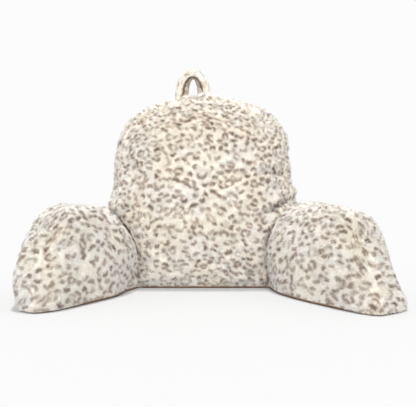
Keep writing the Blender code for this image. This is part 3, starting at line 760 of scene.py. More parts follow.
def closedSkin(name, sheet, every=3):
    # every few rows and columns of the grid as faces, with the two open ends gathered to a point
    skin = sheet["skin"]
    rows = np.unique(np.append(np.arange(0, len(skin), every), len(skin) - 1))
    columns = np.arange(0, skin.shape[1] - 1, every)
    ring = len(columns)
    poles = np.array((skin[0, :-1].mean(axis=0), skin[-1, :-1].mean(axis=0)))
    corners = np.vstack((skin[np.ix_(rows, columns)].reshape(-1, 3), poles))
    start = np.arange(len(rows) - 1)[:, None] * ring
    here, after = np.arange(ring), (np.arange(ring) + 1) % ring
    quads = np.stack(np.broadcast_arrays(start + here, start + after, start + ring + after, start + ring + here),
                     axis=-1).reshape(-1, 4)
    pole, lastRing = len(rows) * ring, (len(rows) - 1) * ring
    first = np.column_stack((np.full(ring, pole), after, here))
    last = np.column_stack((np.full(ring, pole + 1), lastRing + here, lastRing + after))
    faces = np.vstack((quads[:, [0, 1, 2]], quads[:, [0, 2, 3]], first, last))

    cloth = sheet["cloth"][np.ix_(rows, np.append(columns, skin.shape[1] - 1))]
    a, b, c, d = cloth[:-1, :-1], cloth[:-1, 1:], cloth[1:, 1:], cloth[1:, :-1]
    tip, toe = (np.broadcast_to(cloth[end].mean(axis=0), cloth[end, 1:].shape) for end in (0, -1))
    clothMap = np.vstack((
        np.stack((a, b, c), axis=2).reshape(-1, 3, 2), np.stack((a, c, d), axis=2).reshape(-1, 3, 2),
        np.stack((tip, cloth[0, 1:], cloth[0, :-1]), axis=1), np.stack((toe, cloth[-1, :-1], cloth[-1, 1:]), axis=1)))
    if insideOut(corners, faces):
        faces = faces[:, ::-1]
        clothMap = clothMap[:, ::-1]
    strand = np.zeros_like(clothMap)
    # the skin counts as a tuft's root, so it takes the full painted shade of the roots
    strand[..., 0] = 0.5   # a middling tuft, at its root
    return newMesh(name, corners, faces, (("cloth", clothMap), ("strand", strand), ("print", printMap(clothMap, 0.0))))


def cutClearOf(piece, other):
    # takes the other piece's space out of this one
    cut = piece.modifiers.new("cut", "BOOLEAN")
    cut.operation, cut.solver, cut.object = "DIFFERENCE", "EXACT", other
    depsgraph = bpy.context.evaluated_depsgraph_get()
    left = bpy.data.meshes.new_from_object(piece.evaluated_get(depsgraph))
    piece.modifiers.clear()
    old, piece.data = piece.data, left
    bpy.data.meshes.remove(old)
    piece.data.name = piece.name
    return piece


# the print

spots = {
    "tile": 0.660, "cells": 600, "seed": 7, "soft": 0.0024,
    # bending of the whole tile, so that no mark is regular: size, waves, quickest one, the most that it moves a mark
    "warp": 0.00070, "warpWaves": 10, "warpRate": 16, "warpRoom": 0.004,
    # kind, tries, smallest and largest room round a mark, spacing
    "kinds": (
        ("ring", 220, 0.0112, 0.0148, 0.97),
        ("dash", 7000, 0.0078, 0.0104, 0.96),
        ("dot", 2600, 0.0050, 0.0064, 0.98),
    ),
    "stretch": 1.15,                          # rows lie this much closer than columns
    # usual slant and its spread in radians, darkness, how much a stroke narrows at its ends
    "slant": (-0.22, 0.55), "dark": (0.55, 1.0), "taper": 0.28,
    # wide and high are shares of the room, chances are for one, two or three parts, half is half a stroke's width,
    # span and loneSpan are shares of the half turn that the parts or a lone one fill, each part a little its own
    "ring": {"wide": (0.68, 0.80), "high": (0.48, 0.62), "chances": (0.35, 0.45, 0.20), "half": (0.0031, 0.0043),
             "span": 0.66, "loneSpan": (0.50, 0.70), "turned": 0.12, "spanSpread": (0.75, 1.1), "fade": (0.8, 1.0)},
    # bend is half the arc's span, chances are for opening up or down
    "dash": {"wide": (0.55, 0.90), "high": (0.7, 1.0), "bend": (0.45, 1.90), "chances": (0.35, 0.65),
             "half": (0.0034, 0.0047)},
    "dot": {"wide": 0.0024, "high": 0.0012, "half": (0.0030, 0.0042), "dark": 0.85},
    "faint": 150, "faintRoom": (0.006, 0.011), "faintShare": 0.30,
    # reach of the tan round the marks, its gain, what is taken off it and its most
    "halo": 0.0060, "haloGain": 1.5, "haloOff": 0.20, "haloMost": 0.6,
}


def scatterMarks(pick):
    # throws marks on the tile, largest kind first, and keeps each that has room: distance > (room + room) x spacing
    tile = spots["tile"]
    places, rooms, kinds = np.empty((0, 2)), np.empty(0), []
    for kind, tries, low, high, spacing in spots["kinds"]:
        for at, room in zip(pick.uniform(0.0, tile, (tries, 2)), pick.uniform(low, high, tries)):
            away = np.abs(places - at)
            away = np.minimum(away, tile - away)
            if (np.hypot(away[:, 0], away[:, 1] * spots["stretch"]) > (rooms + room) * spacing).all():
                places, rooms = np.vstack((places, at)), np.append(rooms, room)
                kinds.append(kind)
    return places, rooms, kinds


def markStrokes(pick, place, room, kind):
    # strokes of one mark: place, turn, two radii, middle and half span of the arc, half width, darkness
    look = spots[kind]
    turn = pick.choice((0.0, math.pi)) + spots["slant"][0] + pick.normal() * spots["slant"][1]
    dark = pick.uniform(*spots["dark"])
    if kind == "ring":
        wide, high = room * pick.uniform(*look["wide"]), room * pick.uniform(*look["high"])
        parts = pick.choice((1, 2, 3), p=look["chances"])
        share = look["span"] if parts > 1 else pick.uniform(*look["loneSpan"])
        start = pick.uniform(0.0, tau)
        return [(*place, turn, wide, high, start + tau * part / parts + pick.normal() * look["turned"],
                 math.pi * share / parts * pick.uniform(*look["spanSpread"]), pick.uniform(*look["half"]),
                 dark * pick.uniform(*look["fade"])) for part in range(parts)]
    if kind == "dash":
        bend = pick.uniform(*look["bend"])
        wide = room * pick.uniform(*look["wide"]) / bend
        high = wide * pick.uniform(*look["high"])
        side = pick.choice((-1.0, 1.0), p=look["chances"])
        middle = (place[0] + math.sin(turn) * high * side, place[1] - math.cos(turn) * high * side)
        return [(*middle, turn, wide, high, side * math.pi * 0.5, bend, pick.uniform(*look["half"]), dark)]
    return [(*place, turn, look["wide"], look["high"], math.pi * 0.5, math.pi, pick.uniform(*look["half"]),
             dark * look["dark"])]


def drawPrint():
    # darkness of the print on the tile: 1 within half a width of a stroke's arc, fading smoothly to 0 at its edge
    pick = np.random.default_rng(spots["seed"])
    tile, cells, soft = spots["tile"], spots["cells"], spots["soft"]
    step = tile / cells
    strokes = [stroke for place, room, kind in zip(*scatterMarks(pick))
               for stroke in markStrokes(pick, place, room, kind)]
    faintPlaces = pick.uniform(0.0, tile, (spots["faint"], 2))
    faintRooms = pick.uniform(*spots["faintRoom"], spots["faint"])
    for place, room in zip(faintPlaces, faintRooms):
        strokes += [(*stroke[:-1], stroke[-1] * spots["faintShare"])
                    for stroke in markStrokes(pick, place, room, "dash")]
    grid = np.stack(np.meshgrid(np.arange(cells) * step, np.arange(cells) * step), axis=-1)
    waves = pick.integers(-spots["warpRate"], spots["warpRate"] + 1, (2, spots["warpWaves"], 2))
    starts = pick.uniform(0.0, tau, (2, spots["warpWaves"]))
    bent = grid + spots["warp"] * np.stack(
        [np.sin(tau * grid @ waves[k].T / tile + starts[k]).sum(axis=-1) for k in (0, 1)], axis=-1)
    field = np.zeros((cells, cells))
    for x, y, turn, wide, high, middle, half, width, dark in strokes:
        reach = max(wide, high) + width + 3.0 * soft + spots["warpRoom"]
        window = np.ix_(np.arange(int((y - reach) / step), int((y + reach) / step) + 1) % cells,
                        np.arange(int((x - reach) / step), int((x + reach) / step) + 1) % cells)
        off = (bent[window] - (x, y) + tile * 0.5) % tile - tile * 0.5
        along = off[..., 0] * math.cos(turn) + off[..., 1] * math.sin(turn)
        across = off[..., 1] * math.cos(turn) - off[..., 0] * math.sin(turn)
        past = (np.arctan2(across / high, along / wide) - middle + math.pi) % tau - math.pi
        nearest = np.clip(past, -half, half) + middle
        distance = np.hypot(along - wide * np.cos(nearest), across - high * np.sin(nearest))
        taper = 1.0 - spots["taper"] * np.clip(np.abs(past) / max(half, 0.3), 0.0, 1.0) ** 2
        t = np.clip((distance - width * taper + soft) / (2.0 * soft), 0.0, 1.0)
        field[window] = np.maximum(field[window], dark * (1.0 - eased(t)))
    return field


def blurred(field, reach):
    # the periodic tile averaged with its surroundings, by a bell of the given reach in the frequency domain
    rate = np.fft.fftfreq(len(field), spots["tile"] / len(field))
    kept = bell(math.pi * reach * np.hypot(rate[:, None], rate[None]), 1.0)
    return np.real(np.fft.ifft2(np.fft.fft2(field) * kept))


printTile = drawPrint()
haloTile = blurred(printTile, spots["halo"])
print("print drawn")


def printAt(cloth, tile):
    # value of a tile at places on the cloth, blended between the four nearest cells
    cells = spots["cells"]
    at = cloth / spots["tile"] * cells
    low = np.floor(at).astype(int)
    s, t = np.moveaxis(at - low, -1, 0)
    left, lower = low[..., 0] % cells, low[..., 1] % cells
    right, upper = (left + 1) % cells, (lower + 1) % cells
    return ((1 - t) * ((1 - s) * tile[lower, left] + s * tile[lower, right])
            + t * ((1 - s) * tile[upper, left] + s * tile[upper, right]))


def printMap(cloth, tint):
    # darkness of the print, and how tan the cloth is: more so round the marks, and inside the loop as painted shade
    halo = np.clip(spots["haloGain"] * printAt(cloth, haloTile) - spots["haloOff"], 0.0, spots["haloMost"])
    return np.stack((printAt(cloth, printTile), np.minimum(tint + halo, 1.0)), axis=-1)


# the pile

nap = {
    "perSquareMetre": 262000.0, "limit": 49400,         # tufts, and the most of them in one piece
    "length": 0.0062, "lengthSpread": 0.16, "lengthLimits": (0.45, 1.6),
    "width": 0.00125, "widthLimits": (0.75, 1.3), "sink": 0.0006,
    "tuft": 0.016, "tuftSpread": 0.20,                  # patches of longer and shorter pile
    "lean": 0.60, "ruffle": (0.16, 0.035), "clump": (0.20, 0.011),   # share and wavelength of the brushing's turns
    "lowest": 0.0056, "lowestAtEnds": 0.0014,           # how low the tips hang over the foot
    "underArms": 0.006, "inBack": 0.004,                # how deep in a neighbour the pile is left out
    "clothJitter": 0.0009,                              # how far a tuft's colour strays from its place
    "rootSplay": 0.45, "tipSplay": 0.35,                # how far the shading turns from the skin's, round a tuft
}


def pileOver(name, sheet, lie, rows, seed, density, length, width, hidden):
    # one closed four-sided spike for each tuft: roots spread over the grid by area, tips leaning with the nap
    pick = np.random.default_rng(seed)
    part = slice(*rows)
    skin, normal, cloth, pile = (sheet[key][part] for key in ("skin", "normal", "cloth", "pile"))
    tint = sheet["tint"][part] if "tint" in sheet else np.zeros(pile.shape)
    hem = sheet["hem"][part] if "hem" in sheet else np.full(pile.shape, nap["lowest"])
    a, b, c, d = skin[:-1, :-1], skin[:-1, 1:], skin[1:, 1:], skin[1:, :-1]
    area = 0.5 * np.linalg.norm(np.cross(c - a, d - b), axis=-1)
    middle = (a + c) * 0.5
    wanted = area * nap["perSquareMetre"] * density
    wanted[(middle[..., 2] < footLevel) | hidden(middle)] = 0.0
    wanted *= min(1.0, nap["limit"] / max(wanted.sum(), 1.0))
    hits = np.floor(wanted + pick.random(wanted.shape)).astype(int)
    row, column = np.nonzero(hits)
    times = hits[row, column]
    row, column = np.repeat(row, times), np.repeat(column, times)
    s, t = pick.random(len(row)), pick.random(len(row))

    def between(grid):
        # blend of the four corners of each cell
        s1, t1 = (s, t) if grid.ndim == 2 else (s[:, None], t[:, None])
        return ((1 - s1) * (1 - t1) * grid[row, column] + (1 - s1) * t1 * grid[row, column + 1]
                + s1 * (1 - t1) * grid[row + 1, column] + s1 * t1 * grid[row + 1, column + 1])

    root, up, on, grow = between(skin), unit(between(normal)), between(cloth), between(pile)
    count = len(root)
    uneven = nap["tuftSpread"] * ripple(root, nap["tuft"], seed + 31) + nap["lengthSpread"] * pick.normal(size=count)
    tall = nap["length"] * length * grow * (1.0 + uneven).clip(*nap["lengthLimits"])
    ruffled = np.stack([ripple(root, nap["ruffle"][1], seed + k) for k in (11, 12, 13)], axis=-1)
    clumped = np.stack([ripple(root, nap["clump"][1], seed + k) for k in (21, 22, 23)], axis=-1)
    heading = lie(root) + nap["ruffle"][0] * ruffled + nap["clump"][0] * (clumped + pick.normal(size=(count, 3)))
    heading -= (heading * up).sum(axis=1, keepdims=True) * up
    strength = np.linalg.norm(heading, axis=1, keepdims=True)
    lean = nap["lean"] * np.tanh(strength)
    aim = unit(up + lean * heading / np.maximum(strength, 1e-9))
    root = root - up * nap["sink"]
    tip = root + aim * tall[:, None]
    tip[:, 2] = np.maximum(tip[:, 2], between(hem))

    side = unit(np.cross(up, pick.normal(size=(count, 3))))
    other = np.cross(up, side)
    wide = (nap["width"] * width * pick.uniform(*nap["widthLimits"], count))[:, None]
    spokes = [side * math.cos(turn) + other * math.sin(turn) for turn in (0.0, tau / 3, 2 * tau / 3)]
    corners = np.stack([root + wide * spoke for spoke in spokes] + [tip], axis=1)
    corners[..., 2] = np.maximum(corners[..., 2], baseLevel)
    normals = np.stack([unit(up + nap["rootSplay"] * spoke) for spoke in spokes] + [unit(up + nap["tipSplay"] * aim)],
                       axis=1)
    faces = np.array(((0, 1, 3), (1, 2, 3), (2, 0, 3), (0, 2, 1)))
    allFaces = (np.arange(count)[:, None, None] * 4 + faces).reshape(-1, 3)

    each = faces.size   # face corners of one tuft
    on = on + pick.normal(size=on.shape) * nap["clothJitter"]
    clothMap = np.repeat(on, each, axis=0)
    chance = np.repeat(pick.random(count), each)
    high = np.tile(np.array((0.0, 0.0, 0.0, 1.0))[faces].ravel(), count)
    strand = np.column_stack((chance, high))
    # every tuft has its own small cell on a further map, apart from all the others
    cells = math.ceil(math.sqrt(count))
    cell = np.column_stack((np.arange(count) % cells, np.arange(count) // cells))
    spot = np.array(((0.22, 0.20), (0.50, 0.30), (0.78, 0.20), (0.50, 0.80)))[faces].reshape(-1, 2)
    storeMap = (np.repeat(cell, each, axis=0) + np.tile(spot, (count, 1))) / cells
    printed = printMap(clothMap, np.repeat(between(tint), each))
    maps = (("cloth", clothMap), ("strand", strand), ("print", printed), ("OFBake", storeMap))
    piece = newMesh(name, corners.reshape(-1, 3), allFaces, maps, normals.reshape(-1, 3))
    print(name, "tufts", count)
    return piece


# finishes

class Nodes:
    # short hand for one material's nodes: each step adds a node, plugs or sets its inputs and hands back its output

    def __init__(self, name):
        # a new material with its usual shader
        self.material = bpy.data.materials.new(name)
        self.material.use_nodes = True
        self.tree = self.material.node_tree
        self.shader = self.tree.nodes["Principled BSDF"]

    def join(self, source, target):
        # plugs a socket in, or sets a plain value
        if isinstance(source, (int, float, tuple)):
            target.default_value = source
        else:
            self.tree.links.new(source, target)

    def maths(self, operation, *values, clamp=False):
        # one step of arithmetic
        node = self.tree.nodes.new("ShaderNodeMath")
        node.operation, node.use_clamp = operation, clamp
        for value, target in zip(values, node.inputs):
            self.join(value, target)
        return node.outputs[0]

    def vector(self, operation, *values):
        # one step on a vector or a colour
        node = self.tree.nodes.new("ShaderNodeVectorMath")
        node.operation = operation
        for value, target in zip(values, node.inputs):
            self.join(value, target)
        return node

    def parts(self, vector):
        # x, y and z of a vector
        node = self.tree.nodes.new("ShaderNodeSeparateXYZ")
        self.join(vector, node.inputs[0])
        return node.outputs

    def remap(self, value, low, high, toLow, toHigh, smooth=False):
        # carries low to high over to toLow to toHigh, and stops there
        node = self.tree.nodes.new("ShaderNodeMapRange")
        node.interpolation_type = "SMOOTHSTEP" if smooth else "LINEAR"
        for item, target in zip((value, low, high, toLow, toHigh), node.inputs):
            self.join(item, target)
        return node.outputs[0]

    def blend(self, share, first, second, mode="MIX"):
        # from the first colour to the second
        node = self.tree.nodes.new("ShaderNodeMix")
        node.data_type, node.blend_type = "RGBA", mode
        for value, target in ((share, node.inputs[0]), (first, node.inputs[6]), (second, node.inputs[7])):
            self.join(value, target)
        return node.outputs[2]

    def noise(self, place, scale, detail=2.0, flat=False):
        # cloudy pattern, in space or on a flat map
        node = self.tree.nodes.new("ShaderNodeTexNoise")
        node.noise_dimensions = "2D" if flat else "3D"
        self.join(place, node.inputs["Vector"])
        node.inputs["Scale"].default_value = scale
        node.inputs["Detail"].default_value = detail
        return node

    def uvMap(self, name):
        # one of the piece's own maps
        node = self.tree.nodes.new("ShaderNodeUVMap")
        node.uv_map = name
        return node.outputs[0]


def rgb(red, green, blue):
    # screen colour, 0 to 255, as linear light
    def linear(value):
        # the screen's curve undone: v / 12.92 when dark, else ((v + 0.055) / 1.055)^2.4
        value /= 255.0
        return value / 12.92 if value <= 0.04045 else ((value + 0.055) / 1.055) ** 2.4
    return (linear(red), linear(green), linear(blue), 1.0)


plush = {
    # onLoop's second value draws the loop's plush darker than the cushions': painted shade
    "onLoop": (0.50, 0.93),   # strength of the print and paleness of the loop's plush
    "cream": rgb(255, 253, 244), "beige": rgb(253, 247, 238), "cool": rgb(254, 253, 250),
    # root: the warm grey of the painted shade down at the tufts' roots
    "spot": rgb(140, 121, 113), "spotDark": rgb(112, 94, 87), "root": rgb(246, 238, 227), "tan": rgb(228, 210, 190),
}


def spottedPlush(name, spotStrength=1.0, pale=1.0):
    # ground mottled cream, the print's marks over it, a painted shade that darkens and warms each tuft down at its
    # root, each tuft a little its own
    n = Nodes(name)
    cloth = n.uvMap("cloth")
    chance, height = n.parts(n.uvMap("strand"))[:2]
    dark, tan = n.parts(n.uvMap("print"))[:2]
    worn = n.remap(n.noise(cloth, 24.0, 2.0, flat=True).outputs["Fac"], 0.3, 0.7, 0.80, 1.0)
    mark = n.maths("MULTIPLY", n.maths("MULTIPLY", dark, worn), spotStrength, clamp=True)
    warm = n.remap(n.noise(cloth, 11.0, 2.0, flat=True).outputs["Fac"], 0.38, 0.66, 0.0, 1.0, smooth=True)
    ground = n.blend(warm, plush["cool"], plush["cream"])
    rosy = n.remap(n.noise(cloth, 17.0, 3.0, flat=True).outputs["Fac"], 0.50, 0.75, 0.0, 0.9, smooth=True)
    ground = n.blend(rosy, ground, plush["beige"])
    # tan: round the print's marks it is the print's own tan, inside the loop it is painted shade
    ground = n.blend(tan, ground, plush["tan"])
    deep = n.remap(n.noise(cloth, 55.0, 1.0, flat=True).outputs["Fac"], 0.35, 0.7, 0.0, 1.0)
    colour = n.blend(mark, ground, n.blend(deep, plush["spot"], plush["spotDark"]))
    # painted shade: each tuft, and the skin under the pile, is multiplied by the root colour towards its root, fading
    # out three quarters of the way up
    shade = n.remap(height, 0.0, 0.75, 1.0, 0.0, smooth=True)
    rootShaded = n.blend(0.8, colour, plush["root"], "MULTIPLY")
    colour = n.blend(shade, colour, rootShaded)
    # pale scales the whole colour: 1 on the cushions, below 1 on the loop, where it is a painted shade
    each = n.remap(chance, 0.0, 1.0, 0.83 * pale, pale)
    scaled = n.vector("SCALE", colour)
    n.join(each, scaled.inputs["Scale"])
    n.join(scaled.outputs[0], n.shader.inputs["Base Color"])
    n.shader.inputs["Roughness"].default_value = 0.92
    n.shader.inputs["Specular IOR Level"].default_value = 0.12
    n.shader.inputs["Sheen Weight"].default_value = 0.14
    n.shader.inputs["Sheen Roughness"].default_value = 0.45
    n.shader.inputs["Sheen Tint"].default_value = (0.98, 0.97, 1.0, 1.0)
    return n.material


def wovenCloth(name, dark, light, worn, thread=0.0011):
    # plain weave: two crossed sets of threads, each a sine across its run, with painted shade that darkens them where
    # they dip
    n = Nodes(name)
    where = n.tree.nodes.new("ShaderNodeTexCoord").outputs["Object"]
    place = n.parts(where)
    warp = n.maths("SINE", n.maths("MULTIPLY", place[0], tau / thread))
    weft = n.maths("SINE", n.maths("MULTIPLY", place[1], tau / thread))
    weave = n.maths("MULTIPLY", warp, weft)
    rubbed = n.noise(where, 60.0, 4.0).outputs["Fac"]
    tone = n.blend(n.remap(weave, -1.0, 1.0, 0.0, 1.0), dark, light)
    tone = n.blend(n.remap(rubbed, 0.35, 0.7, 0.0, 0.6), tone, worn)
    n.join(tone, n.shader.inputs["Base Color"])
    bump = n.tree.nodes.new("ShaderNodeBump")
    bump.inputs["Strength"].default_value = 0.4
    bump.inputs["Distance"].default_value = 0.0004
    n.join(weave, bump.inputs["Height"])
    n.join(bump.outputs[0], n.shader.inputs["Normal"])
    n.shader.inputs["Roughness"].default_value = 0.88
    n.shader.inputs["Specular IOR Level"].default_value = 0.2
    return n.material


spotted = spottedPlush("spotted plush")
# the loop's plush: the print fainter, and the colour darker as painted shade
plainShadedPlush = spottedPlush("plain plush", *plush["onLoop"])
# dark and light of the weave, the dark being painted shade in its dips, and its colour where it is rubbed
cloths = {
    "brown base cloth": (rgb(88, 64, 51), rgb(130, 100, 82), rgb(110, 82, 66)),
    "brown binding": (rgb(116, 90, 73), rgb(172, 143, 120), rgb(146, 117, 96)),
    # the next two: dark tubes standing for the shadow in the seams' grooves, painted shadow
    "seam crease shadow": (rgb(44, 36, 32), rgb(78, 64, 56), rgb(60, 48, 41)),
    "loop seam shadow": (rgb(86, 66, 53), rgb(136, 112, 96), rgb(110, 88, 73)),
}
baseCloth, bindingCloth, seamCreaseShadow, loopSeamShadow = (wovenCloth(name, *tones) for name, tones in cloths.items())
print("finishes made")


# make the cushions

backGrid = settle(backSheet(), back["skinUnderPile"])
armGrids = {name: settle(armSheet(arm), arms["skinUnderPile"], armLevel) for name, arm in armOf.items()}
joins = {name: meetingLine(grid) for name, grid in armGrids.items()}
for name, grid in armGrids.items():
    pressAlong(grid, joins[name])
    pressAlong(backGrid, joins[name])
backSkin = closedSkin("back_cushion", backGrid)
cushions = {"back": backSkin}
for name, grid in armGrids.items():
    cushions[name] = cutClearOf(closedSkin(name + "_cushion", grid), backSkin)
loopGrid = settle(loopSheet(), loop["skinUnderPile"])
cushions["handle"] = cutClearOf(closedSkin("handle_band", loopGrid), backSkin)
for node, piece in cushions.items():
    piece.data.materials.clear()
    piece.data.materials.append(plainShadedPlush if node == "handle" else spotted)
    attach(piece, "root")
    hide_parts(node)
print("cushions made")


# base panels, bindings and seams

basePanels = {
    "thick": 0.0016, "inset": 0.0012,
    "clear": 0.0006, "spare": 0.002,   # gap between the back's panel and the arms', and how far the cutter passes them
}


def basePanel(name, outline, low, high):
    # flat cloth panel: its outline at two heights, each filled as a fan round its middle, with a rim between them
    count, flat = len(outline), outline * (1.0, 1.0, 0.0)
    corners = np.vstack((flat + (0.0, 0.0, low), flat + (0.0, 0.0, high),
                         flat.mean(axis=0) + (0.0, 0.0, low), flat.mean(axis=0) + (0.0, 0.0, high)))
    here, after = np.arange(count), (np.arange(count) + 1) % count
    faces = np.vstack((np.column_stack((after, here, np.full(count, 2 * count))),
                       np.column_stack((here + count, after + count, np.full(count, 2 * count + 1))),
                       np.column_stack((here, after, after + count)),
                       np.column_stack((here, after + count, here + count))))
    piece = newMesh(name, corners, faces)
    piece.data.polygons.foreach_set("use_smooth", np.zeros(len(faces), bool))
    return piece


def flatSize(piece, turn):
    # width, length and area of a panel's upper face, measured square to the given turn
    count = len(piece.data.vertices)
    corners = np.empty(count * 3, np.float32)
    piece.data.vertices.foreach_get("co", corners)
    corners = corners.reshape(-1, 3)
    across = corners[:, 0] * math.cos(turn) + corners[:, 1] * math.sin(turn)
    along = corners[:, 1] * math.cos(turn) - corners[:, 0] * math.sin(turn)
    area = sum(face.area for face in piece.data.polygons if face.normal.z > 0.5)
    return (float(np.ptp(across)), float(np.ptp(along))), area


backFoot, backWay = footLine(backGrid["skin"], footLevel)
underBack = basePanel("space_under_back", backFoot - backWay * (basePanels["inset"] - basePanels["clear"]),
                      -basePanels["spare"], basePanels["thick"] + basePanels["spare"])
panels = {"back": basePanel("base_cloth_back", backFoot - backWay * basePanels["inset"], 0.0, basePanels["thick"])}
line = backFoot + backWay * seams["bindingOut"]
footRuns = {"back": runsOf(line, ~insideArms(line, 0.0))}
for name, grid in armGrids.items():
    foot, way = footLine(grid["skin"], footLevel)
    panel = basePanel("base_cloth_" + name, foot - way * basePanels["inset"], 0.0, basePanels["thick"])
    panels[name] = cutClearOf(panel, underBack)
    line = foot + way * seams["bindingOut"]
    covered = towardsEnd(armOf[name], line - floorShift) > seams["bindingEnds"]
    footRuns[name] = runsOf(line, ~(insideBack(line, -seams["bindingClear"]) | covered))
bpy.data.objects.remove(underBack)
for name, panel in panels.items():
    panel.data.materials.clear()
    panel.data.materials.append(baseCloth)
    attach(panel, "root")
    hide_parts("base_" + name)
    turn = armOf[name]["side"] * armOf[name]["splay"] if name in armOf else 0.0
    size, area = flatSize(panel, math.radians(turn))
    print(panel.name, "flat", [round(value, 4) for value in size], "area", round(area, 5))
trims = {}
for name, runs in footRuns.items():
    runs = [run * (1.0, 1.0, 0.0) + (0.0, 0.0, seams["bindingHeight"]) for run in runs]

    def thinned(path, arm=armOf.get(name)):
        # thinner towards an arm's end
        return 1.0 if arm is None else 1.0 - seams["bindingThins"] * towardsEnd(arm, path - floorShift)

    trims["binding_" + name] = (name, tubeAlong("binding_" + name, runs, "binding", thinned), bindingCloth)
# dark tubes in the grooves where the arms meet the back: painted shadow of the creases, thicker where the seam gapes
for name, path in joins.items():
    seam = tubeAlong("seam_" + name, [path], "thread", lambda path: np.interp(path[:, 2], *seams["openAt"]))
    trims["seam_" + name] = (name, seam, seamCreaseShadow)
# a dark tube along the seam inside the loop: painted shadow of its groove
loopSeam = loopGrid["seam"] + floorShift
loopSeam = loopSeam[~insideBack(loopSeam, -seams["loopSeamClear"])]
seam = tubeAlong("seam_handle", [evenly(loopSeam, seams["step"])], "loopSeamShadow")
trims["seam_handle"] = ("handle", seam, loopSeamShadow)
for name, (node, piece, finish) in trims.items():
    piece.data.materials.append(finish)
    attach(piece, "root")
print("seams and bindings made")


def downwards(places):
    # pile of the back and the loop, brushed down and a little to the front
    return np.broadcast_to(np.array((0.0, -0.25, -1.0)), places.shape)


def forwards(places):
    # pile of the arms, brushed down and more to the front, towards their ends
    return np.broadcast_to(np.array((0.0, -0.4, -1.0)), places.shape)


def underArms(places):
    # True where an arm covers the back's pile
    return insideArms(places, nap["underArms"])


def sunk(places):
    # True where the pile of an arm or of the loop would stand inside the back
    return insideBack(places, nap["inBack"])


frontEdge, rearEdge = back["frontRows"], back["frontRows"] + back["boxingRows"]
piles = {
    # slot, grid, brushing, rows, seed, density, length and width as shares of the nap's, where it is left out
    "pile_front": ("back", backGrid, downwards, (0, frontEdge), 101, 1.15, 1.0, 1.0, underArms),
    "pile_boxing": ("back", backGrid, downwards, (frontEdge - 1, rearEdge + 1), 102, 0.98, 1.0, 1.0, underArms),
    "pile_rear": ("back", backGrid, downwards, (rearEdge, None), 103, 0.69, 1.0, 1.2, underArms),
    "pile_arm_left": ("arm_left", armGrids["arm_left"], forwards, (0, None), 104, 1.0, 1.0, 1.0, sunk),
    "pile_arm_right": ("arm_right", armGrids["arm_right"], forwards, (0, None), 105, 1.0, 1.0, 1.0, sunk),
    "pile_handle": ("handle", loopGrid, downwards, (0, None), 106, 1.6, 0.5, 0.8, sunk),
}
for name, (node, *settings) in piles.items():
    piece = pileOver(name, *settings)
    piece.data.materials.append(plainShadedPlush if node == "handle" else spotted)
    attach(piece, "root")
print("pile made")


# floor, light and camera

stage = {
    "white": 0.973,                                     # the sky's brightness, which the floor is lit up to
    "floorPale": 0.30, "floorHalf": 14.0, "floorDrop": 0.0002,
    # share of the light that the sky leaves missing, tilt, turn, breadth in degrees: from the front, and from above
    "floorSuns": ((0.50, 52.0, 0.0, 30.0), (0.50, 8.0, 180.0, 6.0)),
    # strength, tilt from straight down, turn, breadth in degrees
    "suns": ((1.95, 62.0, -72.0, 80.0), (1.22, 75.0, 40.0, 80.0), (0.66, 62.0, 72.0, 80.0), (0.80, 80.0, 0.0, 80.0)),
    "sunTone": (1.0, 0.985, 0.958),
    "spot": {"power": 72.0, "tone": (1.0, 0.968, 0.925), "place": (0.0, -1.0, 1.6), "aim": (0.0, 0.08, 0.34),
             "cone": 32.0, "blend": 0.9, "soft": 0.25},
    # place in the drawing's frame, sensor in mm, focal length, picture width and shift in pixels
    "camera": {"place": (0.0135, -1.253, 0.2035), "sensor": 36.0, "focal": 540.0, "width": 416.0, "shift": 1.5},
}


def floorPlane():
    # one pale square, a hair under the base panels
    half = stage["floorHalf"]
    corners = np.array(((-half, -half, 0.0), (half, -half, 0.0), (half, half, 0.0), (-half, half, 0.0)))
    piece = newMesh("floor", corners - (0.0, 0.0, stage["floorDrop"]), np.array(((0, 1, 2, 3),)))
    n = Nodes("pale floor")
    n.shader.inputs["Base Color"].default_value = (*(stage["floorPale"],) * 3, 1.0)
    n.shader.inputs["Roughness"].default_value = 1.0
    n.shader.inputs["Specular IOR Level"].default_value = 0.0
    piece.data.materials.append(n.material)
    return piece


def softSun(name, strength, tilt, turn, breadth):
    # a distant light, tilted from straight down and then turned
    sun = bpy.data.lights.new(name, "SUN")
    sun.energy = strength
    sun.angle = math.radians(breadth)
    lamp = bpy.data.objects.new(name, sun)
    lamp.rotation_euler = (math.radians(tilt), 0.0, math.radians(turn))
    bpy.context.scene.collection.objects.link(lamp)
    return lamp


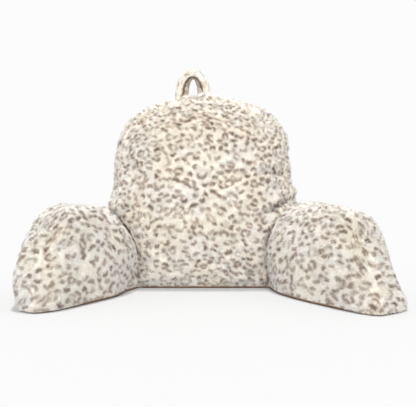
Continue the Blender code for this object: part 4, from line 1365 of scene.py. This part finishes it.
def softLight(floor):
    # the floor has its own suns, so that it is as pale as the sky and keeps only a narrow shadow round the foot
    world = bpy.data.worlds.new("studio")
    world.use_nodes = True
    world.node_tree.nodes["Background"].inputs[0].default_value = (stage["white"],) * 3 + (1.0,)
    bpy.context.scene.world = world
    theFloor, theRest = (bpy.data.collections.new(name) for name in ("lit floor", "all but the floor"))
    theFloor.objects.link(floor)
    theRest.objects.link(floor)
    theRest.collection_objects[0].light_linking.link_state = "EXCLUDE"
    for sun in stage["suns"]:
        lamp = softSun("soft sun", *sun)
        lamp.data.color = stage["sunTone"]
        lamp.light_linking.receiver_collection = theRest
    missing = stage["white"] * (1.0 / stage["floorPale"] - 1.0) * math.pi
    for share, tilt, turn, breadth in stage["floorSuns"]:
        strength = missing * share / math.cos(math.radians(tilt))
        softSun("floor sun", strength, tilt, turn, breadth).light_linking.receiver_collection = theFloor
    # an overhead spot brightens the back's front and the tops
    look = stage["spot"]
    spot = bpy.data.lights.new("overhead spot", "SPOT")
    spot.energy, spot.color, spot.shadow_soft_size = look["power"], look["tone"], look["soft"]
    spot.spot_size, spot.spot_blend = math.radians(look["cone"]), look["blend"]
    lamp = bpy.data.objects.new("overhead spot", spot)
    lamp.location = look["place"]
    lamp.rotation_euler = (Vector(look["aim"]) - lamp.location).to_track_quat("-Z", "Y").to_euler()
    bpy.context.scene.collection.objects.link(lamp)
    lamp.light_linking.receiver_collection = theRest


def photoCamera():
    # level, straight ahead: its focal length is that of the picture in pixels, brought to the sensor
    view = stage["camera"]
    lens = bpy.data.cameras.new("camera")
    lens.sensor_width = view["sensor"]
    lens.lens = view["focal"] * view["sensor"] / view["width"]
    lens.shift_y = view["shift"] / view["width"]
    lens.clip_end = 60.0
    camera = bpy.data.objects.new("camera", lens)
    camera.location = np.array(view["place"]) + floorShift
    camera.rotation_euler = (math.radians(90.0), 0.0, 0.0)
    bpy.context.scene.collection.objects.link(camera)
    bpy.context.scene.camera = camera


softLight(floorPlane())
photoCamera()
bpy.context.scene.view_settings.view_transform = "Standard"
print("stage set")
